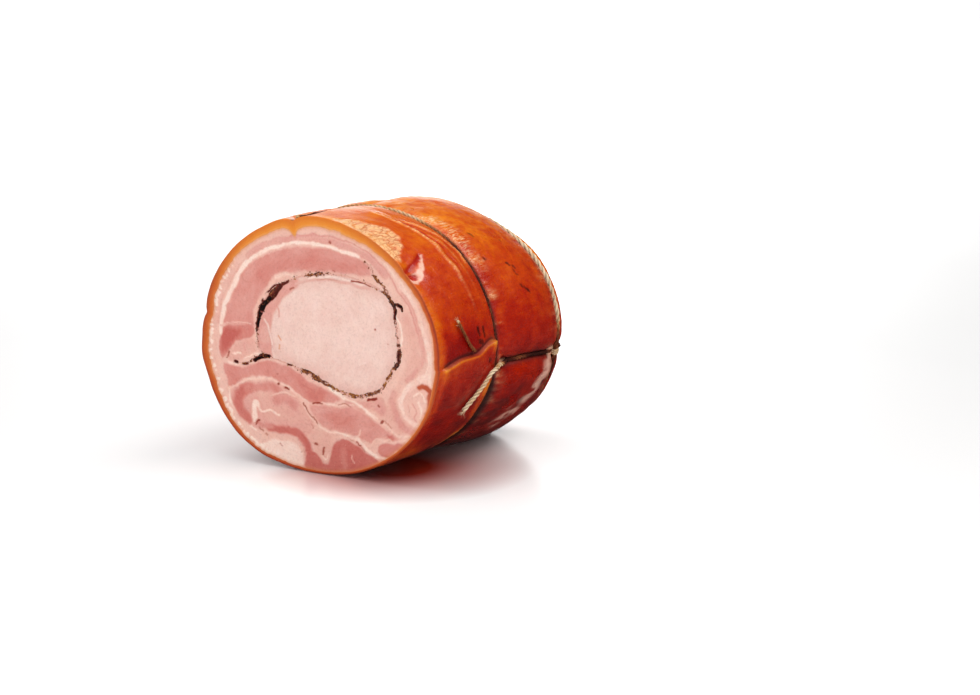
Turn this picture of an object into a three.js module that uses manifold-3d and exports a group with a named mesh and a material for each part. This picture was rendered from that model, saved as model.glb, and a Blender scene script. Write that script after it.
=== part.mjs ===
import * as THREE from "three";
import { mergeVertices } from "three/addons/utils/BufferGeometryUtils.js";
import Module from "manifold-3d";

// Half of a rolled and tied pork roast, lying on its side: belly with its rind, rolled round a
// loin with a layer of herbs between them, and butcher's twine in the furrows it has pressed.
// Sizes are in millimetres. The roll lies along Y, with the cut face at Y = 0 looking to -Y, +X
// on its right and +Z up. Angles are in degrees round the roll, from +X towards +Z.

// The cut face
const FACE_WIDTH = 158;
const FACE_HEIGHT = 142;
const THREE_SIDED = 0.0126;
const THREE_SIDED_ANGLE = -16.6;

// The roll's length, from the cut face to the strings and to the tip of the closed end
const MIDDLE_TIE = 59.7;
const END_TIE = 137.5;
const LENGTH = 162;

// Girth along the roll, as shares of the cut face's
const MIDDLE_GIRTH = 1.003;
const END_GIRTH = 0.934;
const FRONT_BULGE = 0.015;
const REAR_BULGE = 0.075;
const END_BLUNTNESS = 0.2225;
const END_SWELL = 0.02;

// How far the roll's axis drops towards its end, where the drop begins, and the flat underside
const AXIS_DROP = 5.4;
const DROP_START = 50;
const REST_DEPTH = 70.3;

// Unevenness of the skin
const LUMP = 0.9;
const PLEAT = 1.1;
const PLEATS = 9;
const CORNER = { angle: 188, height: 1.3, spread: 5 };
const DENT = { angle: 36, y: 6, depth: 2.4, spread: 5.5 };

// The overlapping edge of the rind, from the cut face to the middle string
const FLAP_ANGLE = -3.5;
const FLAP_RISE = { angle: 2.3, from: 0, over: 22 };
const FLAP_TIP = { angle: 3.4, from: 34, over: 20 };
const FLAP_END = 57;
const FLAP_HEIGHT = 2.2;
const FLAP_EDGE = 0.6;
const FLAP_SLOPE = 24;

// Furrows that the lengthwise strings press into the rind
const TOP_FURROW = { angle: 101, depth: 4, spread: 4.6 };
const LEFT_FURROW = { angle: 170, depth: 3.8, spread: 4.6 };
const SEAM_FURROW = { angle: -7.8, depth: 3.5, spread: 4.2, start: MIDDLE_TIE };
const FURROWS = [TOP_FURROW, LEFT_FURROW, SEAM_FURROW];
const RIM_FURROW = { share: 0.35, over: 11.6 };

// Butcher's twine
const TWINE = 1.3;
const THIN_TWINE = 0.85;
const TWINE_SIDES = 6;
const TWINE_STEP = 7.5;
const LONG_STEP = 5.5;
const MIDDLE_SINK = 1.5;
const END_SINK = 0.4;
const UNDER_SINK = { angle: 270, spread: 45 };
const LONG_SINK = 0.8;
const SEAM_DROP = { angle: -1.2, from: 96, over: 40 };
const RING_WANDER = { angle: -32, shift: -4.6, spread: 22 };

// Clearance between neighbouring pieces, and more of it in the slots that the twine lies in
const GAP = 0.3;
const SLOT_GAP = 0.6;
const LONG_SLOT_GAP = 1;
const SLOT_WALL = 0.05;
const SLOT_REACH = 8;

// The core: how deep it runs, and the herbs round it
const CORE_LENGTH = 134;
const HERB_THICKNESS = 1.7;
const HERB_CLUMP = { angle: 141, extra: 2.6, spread: 22 };
const CORE_STEPS = 60;

// The middle of the herb layer on the cut face, once round the loin, as X and Z
const HERB_RING = [
  [-38.8, -3],
  [-38.4, 12],
  [-31, 26],
  [-18, 35.5],
  [0, 40],
  [20, 40.5],
  [40, 37],
  [51, 28],
  [54.6, 8],
  [51.5, -6],
  [42, -19],
  [24, -23.5],
  [3, -17.5],
  [-16, -11],
  [-32, -8.5],
];

// The two ends of the layer that run on into the belly, from the ring outwards
const LEFT_TAIL = [
  [-34.6, -7.2],
  [-45, -12],
  [-57, -13.2],
];
const RIGHT_TAIL = [
  [50, 29.4],
  [43, 39.5],
  [35, 49],
];

const degrees = Math.PI / 180;

// A bell curve of an angle or a length, 1 at the middle.
function bell(distance, spread) {
  return Math.exp(-((distance / spread) ** 2));
}

// The angle from one direction to another, between -180 and 180.
function turn(from, to) {
  return ((((to - from + 180) % 360) + 360) % 360) - 180;
}

function smooth(value) {
  const share = THREE.MathUtils.clamp(value, 0, 1);
  return share * share * (3 - 2 * share);
}

// The cut face's outline: an oval, a little three-sided, as a distance from its centre.
function outline(angle) {
  const mean = (FACE_WIDTH + FACE_HEIGHT) / 4;
  const oval = (FACE_WIDTH - FACE_HEIGHT) / (FACE_WIDTH + FACE_HEIGHT);
  const sides = THREE_SIDED * Math.cos(3 * (angle - THREE_SIDED_ANGLE) * degrees);
  return mean * (1 + oval * Math.cos(2 * angle * degrees) + sides);
}

// The girth at a place along the roll: it bulges between the strings, and a blunt dome ends it.
function girth(y) {
  if (y <= MIDDLE_TIE) {
    const share = y / MIDDLE_TIE;
    const bulge = Math.max(0, Math.sin(Math.PI * share ** 1.5)) ** 0.7;
    return 1 + (MIDDLE_GIRTH - 1) * share + FRONT_BULGE * bulge;
  }
  if (y <= END_TIE) {
    const share = (y - MIDDLE_TIE) / (END_TIE - MIDDLE_TIE);
    const bulge = Math.max(0, Math.sin(Math.PI * share ** 1.4)) ** 0.5;
    return MIDDLE_GIRTH + (END_GIRTH - MIDDLE_GIRTH) * share + REAR_BULGE * bulge;
  }
  const share = Math.min(1, (y - END_TIE) / (LENGTH - END_TIE));
  const swell = END_SWELL * Math.sin(Math.PI * Math.min(1, 1.8 * share));
  return (END_GIRTH + swell) * (1 - share * share) ** END_BLUNTNESS;
}

// The height of the roll's axis over the cut face's centre.
function axisHeight(y) {
  const share = THREE.MathUtils.clamp((y - DROP_START) / (END_TIE - DROP_START), 0, 1);
  return -AXIS_DROP * share * share;
}

// The angle of the flap's edge: along the seam, then turning up towards its tip.
function flapAngle(y) {
  const rises = [FLAP_RISE, FLAP_TIP].map((rise) => rise.angle * smooth((y - rise.from) / rise.over));
  return FLAP_ANGLE + rises[0] + rises[1];
}

// The flap ends in a tip just before the middle string.
function flapShare(y) {
  return smooth((FLAP_END + 3 - y) / 6);
}

// The rind under the seam lies over the rind above it, so its edge stands up and slopes away.
function flap(angle, y) {
  const beyond = turn(flapAngle(y), angle);
  const under = smooth((FLAP_EDGE - beyond) / FLAP_EDGE) * Math.exp(Math.min(0, beyond) / FLAP_SLOPE);
  return FLAP_HEIGHT * under * flapShare(y);
}

// Soft lumps, the corner of the cut rim, the dent, and the pleats of the closed end.
function relief(angle, y) {
  const lumps = Math.sin((2 * angle + 1.9 * y) * degrees) + Math.sin((5 * angle - 3.1 * y + 40) * degrees);
  const corner = CORNER.height * bell(turn(CORNER.angle, angle), CORNER.spread) * bell(y, 26);
  const dent = DENT.depth * bell(turn(DENT.angle, angle), DENT.spread) * bell(y - DENT.y, DENT.spread);
  const pleats = PLEAT * Math.cos(PLEATS * angle * degrees) * endShare(y);
  return LUMP * 0.5 * lumps + corner - dent + pleats;
}

// How far a place is into the closed end.
function endShare(y) {
  return smooth((y - END_TIE) / (LENGTH - END_TIE));
}

// The furrows under the lengthwise strings. They are shallow at the cut rim, and the one along the
// seam starts at the middle string.
function furrows(angle, y) {
  const rim = RIM_FURROW.share + (1 - RIM_FURROW.share) * smooth(y / RIM_FURROW.over);
  let depth = 0;
  for (const furrow of FURROWS) {
    const begun = furrow.start ? smooth((y - furrow.start) / 6) : rim;
    const middle = furrow.angle + (furrow.start ? seamShift(y) : 0);
    depth += furrow.depth * begun * bell(turn(middle, angle), furrow.spread);
  }
  return depth * (1 - endShare(y));
}

// A place at a distance from the roll's axis, never under the surface that the roll lies on. Rows
// near the middle string follow its wander.
function place(angle, row, reach) {
  const wander = RING_WANDER.shift * bell(turn(RING_WANDER.angle, angle), RING_WANDER.spread);
  const y = row + wander * bell(row - MIDDLE_TIE, 16);
  const x = reach * Math.cos(angle * degrees);
  const z = Math.max(axisHeight(row) + reach * Math.sin(angle * degrees), -REST_DEPTH);
  return new THREE.Vector3(x, y, z);
}

// A place on the rind as if it had no furrows, lifted by a height.
function smoothSkin(angle, row, lift = 0) {
  const closing = Math.min(1, girth(row) / END_GIRTH);
  const reach = outline(angle) * girth(row) + (relief(angle, row) + flap(angle, row)) * closing;
  const out = new THREE.Vector3(Math.cos(angle * degrees), 0, Math.sin(angle * degrees));
  return place(angle, row, reach).addScaledVector(out, lift);
}

// A place on the rind, lifted by a height.
function skin(angle, row, lift = 0) {
  return smoothSkin(angle, row, lift - furrows(angle, row));
}

// A place over the rind, at a height measured square to its slope along the roll.
function over(angle, row, height) {
  const along = skin(angle, row + 0.2).sub(skin(angle, row - 0.2)).normalize();
  const out = new THREE.Vector3(Math.cos(angle * degrees), 0, Math.sin(angle * degrees));
  out.addScaledVector(along, -out.dot(along)).normalize();
  return skin(angle, row).addScaledVector(out, height);
}

// The seam string drops a little towards the end, as a change of its angle.
function seamShift(row) {
  return SEAM_DROP.angle * smooth((row - SEAM_DROP.from) / SEAM_DROP.over);
}

// How deep the rings of twine lie. Under the roll they are pressed in all the way.
function middleSink() {
  return MIDDLE_SINK;
}

function endSink(angle) {
  return END_SINK + (MIDDLE_SINK - END_SINK) * bell(turn(UNDER_SINK.angle, angle), UNDER_SINK.spread);
}

function noSink() {
  return 0;
}

// Rows along the roll, closer together at the strings, from the cut rim to the last before the
// tip. Each ring of twine lies in a slot, whose rows are that much deeper than the rind there.
function rowsAlong() {
  const front = 8;
  const rear = 13;
  const dome = 7;
  const places = [];
  for (let i = 0; i < front; i++) {
    places.push(MIDDLE_TIE * Math.sin((i / front) * (Math.PI / 2)));
  }
  for (let i = 1; i < rear; i++) {
    places.push(MIDDLE_TIE + (END_TIE - MIDDLE_TIE) * 0.5 * (1 - Math.cos((i / rear) * Math.PI)));
  }
  for (let i = 1; i < dome; i++) {
    places.push(END_TIE + (LENGTH - END_TIE) * Math.sin((i / dome) * (Math.PI / 2)));
  }
  const half = TWINE + SLOT_GAP;
  const clear = (y) => [MIDDLE_TIE, END_TIE].every((tie) => Math.abs(y - tie) > half + 0.3);
  const rows = places.filter(clear).map((y) => ({ y, at: y, slot: noSink }));
  for (const [tie, sink] of [[MIDDLE_TIE, middleSink], [END_TIE, endSink]]) {
    for (const side of [-1, 1]) {
      const edge = tie + side * (half + SLOT_WALL);
      rows.push({ y: edge, at: edge, slot: noSink });
      rows.push({ y: tie + side * half, at: tie, slot: (angle) => sink(angle) + half });
    }
  }
  return rows.sort((a, b) => a.y - b.y);
}

// Columns round the roll, with closer ones at the flap's edge. Each lengthwise string lies in a
// slot, whose columns are deeper from its start to a little past the end string.
function columnsRound() {
  const step = 5.5;
  const slot = LONG_SINK + TWINE + LONG_SLOT_GAP;
  const half = 1.5;
  const wall = 0.05;
  const columns = [0, FLAP_EDGE, 2.4].map((offset) => ({ angle: FLAP_ANGLE + offset, slot: 0, start: 0 }));
  for (const furrow of FURROWS) {
    const start = furrow.start ? furrow.start + 4 : -1;
    columns.push({ angle: furrow.angle - 5, slot: 0, start });
    columns.push({ angle: furrow.angle - half - wall, slot: 0, start });
    columns.push({ angle: furrow.angle - half, slot, start });
    columns.push({ angle: furrow.angle + half, slot, start });
    columns.push({ angle: furrow.angle + half + wall, slot: 0, start });
    if (furrow !== SEAM_FURROW) {
      columns.push({ angle: furrow.angle + 5, slot: 0, start });
    }
  }
  const special = [...columns];
  for (let angle = -180; angle < 180 - step / 2; angle += step) {
    if (special.every((other) => Math.abs(turn(other.angle, angle)) > step / 2)) {
      columns.push({ angle, slot: 0, start: 0 });
    }
  }
  return columns.sort((a, b) => a.angle - b.angle);
}

// The whole roll as a skin over rows and columns, closed by the flat cut face and the end's tip.
// Near the seam the columns follow the flap's edge and then the seam string.
function rollGeometry() {
  const rows = rowsAlong();
  const columns = columnsRound();
  const points = [];
  for (const row of rows) {
    const front = turn(FLAP_ANGLE, flapAngle(row.y)) * flapShare(row.y);
    for (const column of columns) {
      const shift = front * bell(turn(FLAP_ANGLE, column.angle), 14);
      const wave = seamShift(row.y) * bell(turn(SEAM_FURROW.angle, column.angle), 14);
      const inSlot = row.y > column.start && row.y < END_TIE + SLOT_REACH;
      const depth = Math.max(row.slot(column.angle), inSlot ? column.slot : 0);
      const point = skin(column.angle + shift + wave, row.at, -depth);
      points.push(point.x, point.y + row.y - row.at, point.z);
    }
  }
  const face = points.length / 3;
  points.push(0, 0, 0);
  const tip = face + 1;
  points.push(0, LENGTH, axisHeight(LENGTH));
  const around = columns.length;
  const triangles = [];
  for (let i = 0; i < around; i++) {
    const next = (i + 1) % around;
    const last = (rows.length - 1) * around;
    triangles.push(face, i, next);
    triangles.push(tip, last + next, last + i);
    for (let row = 0; row < rows.length - 1; row++) {
      const near = row * around;
      const far = near + around;
      triangles.push(near + i, far + i, near + next);
      triangles.push(near + next, far + i, far + next);
    }
  }
  const geometry = new THREE.BufferGeometry();
  geometry.setAttribute("position", new THREE.Float32BufferAttribute(points, 3));
  geometry.setIndex(triangles);
  return geometry;
}

// A closed loop of twine through points round the roll.
function loopGeometry(points, radius, step) {
  const curve = new THREE.CatmullRomCurve3(points, true);
  const steps = Math.round(curve.getLength() / step);
  return new THREE.TubeGeometry(curve, steps, radius, TWINE_SIDES, true);
}

// A length of twine with two ends.
function stringGeometry(points, radius, step) {
  const section = new THREE.Shape();
  for (let i = 0; i < TWINE_SIDES; i++) {
    const angle = (i / TWINE_SIDES) * 2 * Math.PI;
    const place = [radius * Math.cos(angle), radius * Math.sin(angle)];
    if (i === 0) {
      section.moveTo(...place);
    } else {
      section.lineTo(...place);
    }
  }
  section.closePath();
  const path = new THREE.CatmullRomCurve3(points, false, "centripetal");
  const steps = Math.round(path.getLength() / step);
  return new THREE.ExtrudeGeometry(section, { steps, bevelEnabled: false, extrudePath: path });
}

// Points round the roll, drawn tight over the furrows of the lengthwise strings.
function ringPoints(row, sink) {
  const count = 60;
  const points = [];
  for (let i = 0; i < count; i++) {
    const angle = (i / count) * 360;
    points.push(smoothSkin(angle, row, -sink(angle)));
  }
  return points;
}

// Points along the roll in a furrow's slot, from the cut face to the end string.
function runPoints(angle) {
  const shoulder = END_TIE - 2.1;
  const free = (y) => y > 4 && y < shoulder - 1 && Math.abs(y - MIDDLE_TIE) > 2;
  const rows = rowsAlong().map((row) => row.y).filter(free);
  const stops = [0.4, ...rows, MIDDLE_TIE, shoulder, END_TIE].sort((a, b) => a - b);
  return stops.map((row) => skin(angle, row, -LONG_SINK));
}

// Points from a string's slot up onto the closed end and over it to near its middle.
function endPoints(angle) {
  const height = TWINE + GAP;
  const shares = [0.55, 0.7, 0.83, 0.93, 0.98];
  const rise = [
    [5, -0.5],
    [8, 1.1],
    [10.6, height + 0.5],
  ];
  return [
    ...rise.map(([beyond, lift]) => over(angle, END_TIE + beyond, lift)),
    ...shares.map((share) => over(angle, END_TIE + (LENGTH - END_TIE) * share, height + 0.2)),
  ];
}

// One string runs from the cut face over the top, across the closed end and down to the lower rim.
function overTopPoints() {
  const top = TOP_FURROW.angle;
  return [
    ...runPoints(top),
    ...endPoints(top),
    new THREE.Vector3(0, LENGTH + TWINE + GAP, axisHeight(LENGTH)),
    ...endPoints(top + 180).slice(3).reverse(),
  ];
}

// The other runs from the cut face's left side round the end, along the seam, over the middle
// string, and leaves its cut end lying on the rind.
function roundSidePoints() {
  const left = LEFT_FURROW.angle;
  const seam = SEAM_FURROW.angle;
  const above = TWINE + GAP;
  const crossing = LENGTH + 3 * TWINE + 2.4 * GAP;
  const alongSeam = [END_TIE, 135.3, 132, 127, 118, 108, 98, 90, 82, 74];
  const tail = [
    [-7.6, MIDDLE_TIE, above + 0.6],
    [-8, 54, above + 0.4],
    [-9.2, 49, above + 0.2],
    [-13, 43, above + 0.2],
    [-16.5, 37.5, above + 0.2],
    [-20, 32.5, above + 0.2],
    [-23, 29.5, above + 0.4],
  ];
  return [
    ...runPoints(left),
    ...endPoints(left),
    new THREE.Vector3(0, crossing, axisHeight(LENGTH)),
    ...endPoints(seam + seamShift(END_TIE)).reverse(),
    ...alongSeam.map((row) => skin(seam + seamShift(row), row, -LONG_SINK)),
    smoothSkin(seam, 66.5, -0.6),
    ...tail.map(([angle, row, lift]) => smoothSkin(angle, row, lift)),
  ];
}

// A thinner end of twine that comes out from under the flap and lies on the rind above it.
function tailPoints() {
  const rest = THIN_TWINE + GAP;
  return [
    skin(0.6, 32.5, rest + 0.4),
    skin(3, 28.5, rest + 0.2),
    skin(7.5, 24, rest + 0.2),
    skin(11, 21, rest + 0.4),
    skin(14, 18.5, rest + 0.9),
  ];
}

// Half the herb layer's thickness at a point of its ring, thickest at the clump on the upper left.
function herbHalf(point) {
  const angle = Math.atan2(point.y - 8, point.x - 8) / degrees;
  return 0.5 * (HERB_THICKNESS + HERB_CLUMP.extra * bell(turn(HERB_CLUMP.angle, angle), HERB_CLUMP.spread));
}

// The herb ring's outline, moved outwards by a share of the layer's half thickness and a margin.
function ringOutline(share, margin) {
  const flat = HERB_RING.map(([x, z]) => new THREE.Vector3(x, z, 0));
  const curve = new THREE.CatmullRomCurve3(flat, true, "centripetal");
  const points = [];
  for (let i = 0; i < CORE_STEPS; i++) {
    const point = curve.getPointAt(i / CORE_STEPS);
    const tangent = curve.getTangentAt(i / CORE_STEPS);
    const out = share * herbHalf(point) + margin;
    points.push(new THREE.Vector2(point.x - tangent.y * out, point.y + tangent.x * out));
  }
  return points;
}

// A tail's outline: a strip along its middle line that thins towards its end.
function tailOutline(tail, margin) {
  const curve = new THREE.SplineCurve(tail.map(([x, z]) => new THREE.Vector2(x, z)));
  const steps = 8;
  const one = [];
  const other = [];
  for (let i = 0; i <= steps; i++) {
    const share = i / steps;
    const point = curve.getPoint(share);
    const tangent = curve.getTangent(share);
    const half = 0.5 * HERB_THICKNESS * (1 - 0.5 * share) + margin;
    const across = new THREE.Vector2(-tangent.y, tangent.x).multiplyScalar(half);
    const along = tangent.clone().multiplyScalar(i === steps ? margin : 0);
    one.push(point.clone().add(across).add(along));
    other.push(point.clone().sub(across).add(along));
  }
  return [...one, ...other.reverse()];
}

// A solid of one outline from the cut face back into the roll.
function through(points, depth, ahead = 0) {
  const flat = THREE.ShapeUtils.isClockWise(points) ? [...points].reverse() : points;
  const geometry = new THREE.ExtrudeGeometry(new THREE.Shape(flat), { depth: depth + ahead, bevelEnabled: false });
  return geometry.rotateX(Math.PI / 2).translate(0, depth, 0);
}

const wasm = await Module();
wasm.setup();

// A closed geometry as a solid that can be joined and cut.
function solid(geometry) {
  const bare = geometry.clone();
  bare.deleteAttribute("normal");
  bare.deleteAttribute("uv");
  const merged = mergeVertices(bare, 1e-3);
  const mesh = new wasm.Mesh({
    numProp: 3,
    vertProperties: new Float32Array(merged.getAttribute("position").array),
    triVerts: new Uint32Array(merged.getIndex().array),
  });
  return new wasm.Manifold(mesh);
}

// A solid as a geometry again.
function geometryOf(made) {
  const mesh = made.getMesh();
  const geometry = new THREE.BufferGeometry();
  geometry.setAttribute("position", new THREE.BufferAttribute(mesh.vertProperties, 3));
  geometry.setIndex(new THREE.BufferAttribute(mesh.triVerts, 1));
  geometry.computeVertexNormals();
  return geometry;
}

// The ring round the loin, with the two tails, as one solid. A margin makes it larger.
function layer(margin, depth, ahead) {
  const parts = [ringOutline(1, margin), tailOutline(LEFT_TAIL, margin), tailOutline(RIGHT_TAIL, margin)];
  return parts.map((points) => solid(through(points, depth, ahead))).reduce((a, b) => a.add(b));
}

function pocket() {
  return layer(GAP, CORE_LENGTH + GAP, 5);
}

// Each length of twine as its points, its thickness, and whether it closes on itself.
const strings = {
  twine_middle_ring: { points: ringPoints(MIDDLE_TIE, middleSink), radius: TWINE, step: TWINE_STEP, loop: true },
  twine_end_ring: { points: ringPoints(END_TIE, endSink), radius: TWINE, step: TWINE_STEP, loop: true },
  twine_over_top: { points: overTopPoints(), radius: TWINE, step: LONG_STEP },
  twine_round_side: { points: roundSidePoints(), radius: TWINE, step: LONG_STEP },
  twine_thin_tail: { points: tailPoints(), radius: THIN_TWINE, step: LONG_STEP },
};

function twineGeometry(string) {
  const make = string.loop ? loopGeometry : stringGeometry;
  return make(string.points, string.radius, string.step);
}

// The belly is the roll, less the space for the filling and the loin in it.
function bellyGeometry() {
  return geometryOf(solid(rollGeometry()).subtract(pocket()));
}

function herbGeometry() {
  const inside = solid(through(ringOutline(-1, 0), CORE_LENGTH + 5, 5));
  return geometryOf(layer(0, CORE_LENGTH, 0).subtract(inside));
}

function loinGeometry() {
  return through(ringOutline(-1, -GAP), CORE_LENGTH);
}

// Finishes
const finishes = {
  rind: new THREE.MeshStandardMaterial({ color: 0xb5520f, roughness: 0.32, metalness: 0 }),
  loin: new THREE.MeshStandardMaterial({ color: 0xe8c4b4, roughness: 0.45, metalness: 0 }),
  herbs: new THREE.MeshStandardMaterial({ color: 0x3a2412, roughness: 0.8, metalness: 0 }),
  twine: new THREE.MeshStandardMaterial({ color: 0xc79a62, roughness: 0.85, metalness: 0 }),
};

function named(name, geometry, finish) {
  const mesh = new THREE.Mesh(geometry, finish);
  mesh.name = name;
  return mesh;
}

// The origin is on the surface that the roast lies on, under the middle of its box.
const roast = new THREE.Group();
roast.add(named("belly", bellyGeometry(), finishes.rind));
roast.add(named("herb_filling", herbGeometry(), finishes.herbs));
roast.add(named("loin", loinGeometry(), finishes.loin));
for (const [name, string] of Object.entries(strings)) {
  roast.add(named(name, twineGeometry(string), finishes.twine));
}
const box = new THREE.Box3().setFromObject(roast);
const middle = box.getCenter(new THREE.Vector3());
roast.position.set(-middle.x, -middle.y, -box.min.z);

const part = new THREE.Group();
part.add(roast);

export default part;
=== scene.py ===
import math

import bpy
import numpy as np
from mathutils import Matrix, Vector


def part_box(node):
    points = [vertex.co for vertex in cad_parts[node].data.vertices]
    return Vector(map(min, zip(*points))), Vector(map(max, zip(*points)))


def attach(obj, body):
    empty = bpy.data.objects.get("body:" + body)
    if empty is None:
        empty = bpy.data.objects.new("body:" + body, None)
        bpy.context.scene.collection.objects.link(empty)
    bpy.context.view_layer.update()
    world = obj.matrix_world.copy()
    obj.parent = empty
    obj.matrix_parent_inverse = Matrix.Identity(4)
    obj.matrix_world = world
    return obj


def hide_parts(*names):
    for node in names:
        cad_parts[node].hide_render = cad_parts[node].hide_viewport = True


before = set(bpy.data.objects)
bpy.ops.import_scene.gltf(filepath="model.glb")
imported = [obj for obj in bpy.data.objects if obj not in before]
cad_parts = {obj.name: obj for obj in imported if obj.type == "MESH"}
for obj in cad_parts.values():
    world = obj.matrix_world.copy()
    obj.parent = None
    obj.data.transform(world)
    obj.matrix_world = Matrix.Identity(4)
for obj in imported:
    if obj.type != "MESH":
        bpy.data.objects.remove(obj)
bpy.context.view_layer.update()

# Half of a rolled and tied pork roast, lying on its side. Lengths are in millimetres until a mesh
# is made. X and Z are measured from the middle of the cut face and Y runs from it along the roll;
# angles are in degrees round the roll, from +X towards +Z.

MM = 0.001

# The cut face and the roll's length, as in the solids
FACE_WIDTH = 158
FACE_HEIGHT = 142
THREE_SIDED = 0.0126
THREE_SIDED_ANGLE = -16.6
MIDDLE_TIE = 59.7
END_TIE = 137.5
LENGTH = 162
MEAN_RADIUS = (FACE_WIDTH + FACE_HEIGHT) / 4
ARC = MEAN_RADIUS * math.pi / 180

# Girth along the roll, as shares of the cut face's, and the axis, which drops towards the end
MIDDLE_GIRTH = 1.003
END_GIRTH = 0.934
FRONT_BULGE = 0.015
REAR_BULGE = 0.075
END_BLUNTNESS = 0.2225
END_SWELL = 0.02
AXIS_DROP = 5.4
DROP_START = 50
REST_DEPTH = 70.3

# Unevenness of the skin, the overlapping flap of rind, and the furrows of the lengthwise strings
LUMP = 0.9
PLEAT = 1.1
PLEATS = 9
CORNER = {"angle": 188, "height": 1.3, "spread": 5}
DENT = {"angle": 36, "y": 6, "depth": 2.4, "spread": 5.5}
FLAP_ANGLE = -3.5
FLAP_RISE = {"angle": 2.3, "start": 0, "over": 22}
FLAP_TIP = {"angle": 3.4, "start": 34, "over": 20}
FLAP_END = 57
FLAP_HEIGHT = 2.2
FLAP_EDGE = 0.6
FLAP_SLOPE = 24
TOP_FURROW = {"angle": 101, "depth": 4, "spread": 4.6}
LEFT_FURROW = {"angle": 170, "depth": 3.8, "spread": 4.6}
SEAM_FURROW = {"angle": -7.8, "depth": 3.5, "spread": 4.2}
FURROWS = [TOP_FURROW, LEFT_FURROW, SEAM_FURROW]
RIM_FURROW = {"share": 0.35, "over": 11.6}
SEAM_DROP = {"angle": -1.2, "start": 96, "over": 40}
SLOT_DEPTH = 1.9
SLOT_SPREAD = 1.35
RING_WANDER = {"angle": -32, "shift": -4.6, "spread": 22, "along": 16}

# Butcher's twine: three strands, one turn of the lay in each pitch
TWINE = 1.25
THIN_TWINE = 0.95
END_TWINE = 1.7
TWINE_LAY = 9.5
MIDDLE_SINK = 1.5
END_SINK = 0.4
UNDER_SINK = {"angle": 270, "spread": 45}
LONG_SINK = 0.8
MIDDLE_PROUD = {"angle": 90, "height": 1.3, "spread": 44}
END_PROUD = {"angle": 38, "height": 1.9, "spread": 44}
TWINE_SIDES = 21
STRAND_MIDDLE = 0.46
STRAND_RADIUS = 0.54
COIL_REACH = 1.9
COIL_TWINE = 1.05

# The lengthwise strings: the rows that they pass, how high they lie beyond the end string and over
# the closed end, and the two cut ends as angle, row and height
RUN_ROWS = [
    4, 12, 23, 33, 41.5, 49, 55, 59.7, 64, 71, 80, 90, 101, 111, 120, 128, 133, 135.4, 137.5,
]
SEAM_ROWS = [END_TIE, 135.3, 132, 127, 118, 108, 98, 90, 82, 74]
END_RISE = [(5, -0.5), (8, 1.1), (10.6, 2.1)]
END_SHARES = [0.55, 0.7, 0.83, 0.93, 0.98]
END_LIFT = 1.8
TOP_LIFT = 2.8
CUT_END = [
    (-7.6, MIDDLE_TIE, 2.2), (-8, 54, 2), (-9.2, 49, 1.8), (-13, 43, 1.8), (-16.5, 37.5, 1.8),
    (-20, 32.5, 1.8), (-23, 29.5, 2),
]
THIN_END = [(0.6, 32.5, 1.55), (3, 28.5, 1.35), (7.5, 24, 1.35), (11, 21, 1.55), (14, 18.5, 2.05)]

# The core, how far the loin reaches to the left of the middle of the face, and a point in its
# middle, from which the cut face is laid out
CORE_LENGTH = 134
LOIN_LEFT = 38.56
HUB = np.array([8.0, 8.0])

# The rind's shell, and its rounded rim: the share of a quarter turn, the way back, how cut it looks
SHELL = 5.5
SHELL_END = 2
SHELL_ROWS = [150, 137, 110, 80, 55, 30, 12, 3]
SHELL_TIP = 152
RIM_ROUNDING = 0.55
RIM_ROWS = [(0.45, 0.15, 0.7), (0.8, 0.45, 0.2)]

# Rows of the walls inside the rind, and the herb layer's steps across and loose flakes
POCKET_ROWS = (CORE_LENGTH, 90, 45, 12)
BELLY_WALL_ROWS = (12, 45, 90, 130, 146)
BELLY_TIP = 149
LOIN_WALL_ROWS = (0.7, 15, 60, CORE_LENGTH)
HERB_STEPS = 11
FLAKES = 420

# How painted edges on the cut face are moved by noise: its size, how far, and its seed. Thin
# layers of meat run round the hub, at one distance
BELLY_BEND = (6, 0.9, 61)
FINE_BEND = (2, 0.4, 63)
LOIN_BEND = (6, 0.8, 71)
LAYERS_ROUND = 9

# The thickness of the rind on the cut face by angle, and how yellow its cut edge is there; its yellow over
# the top is partly its own colour and partly painted light shining through
RIND_EDGE = [
    (0, 3.3, 0.1),
    (17, 3.0, 0.1),
    (30, 3.3, 0.3),
    (50, 4.4, 0.7),
    (75, 5.8, 1.0),
    (100, 5.9, 1.0),
    (125, 4.8, 0.9),
    (140, 4.8, 0.7),
    (158, 5.4, 0.3),
    (182, 5.6, 0.3),
    (200, 5.2, 0.2),
    (218, 3.6, 0.15),
    (235, 2.9, 0.1),
    (255, 2.2, 0.1),
    (275, 1.5, 0.15),
    (300, 1.4, 0.2),
    (325, 1.9, 0.3),
    (345, 2.7, 0.3),
]
RIND_KNUCKLE = {"angle": 101.5, "depth": 2.4, "spread": 2.2}

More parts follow.
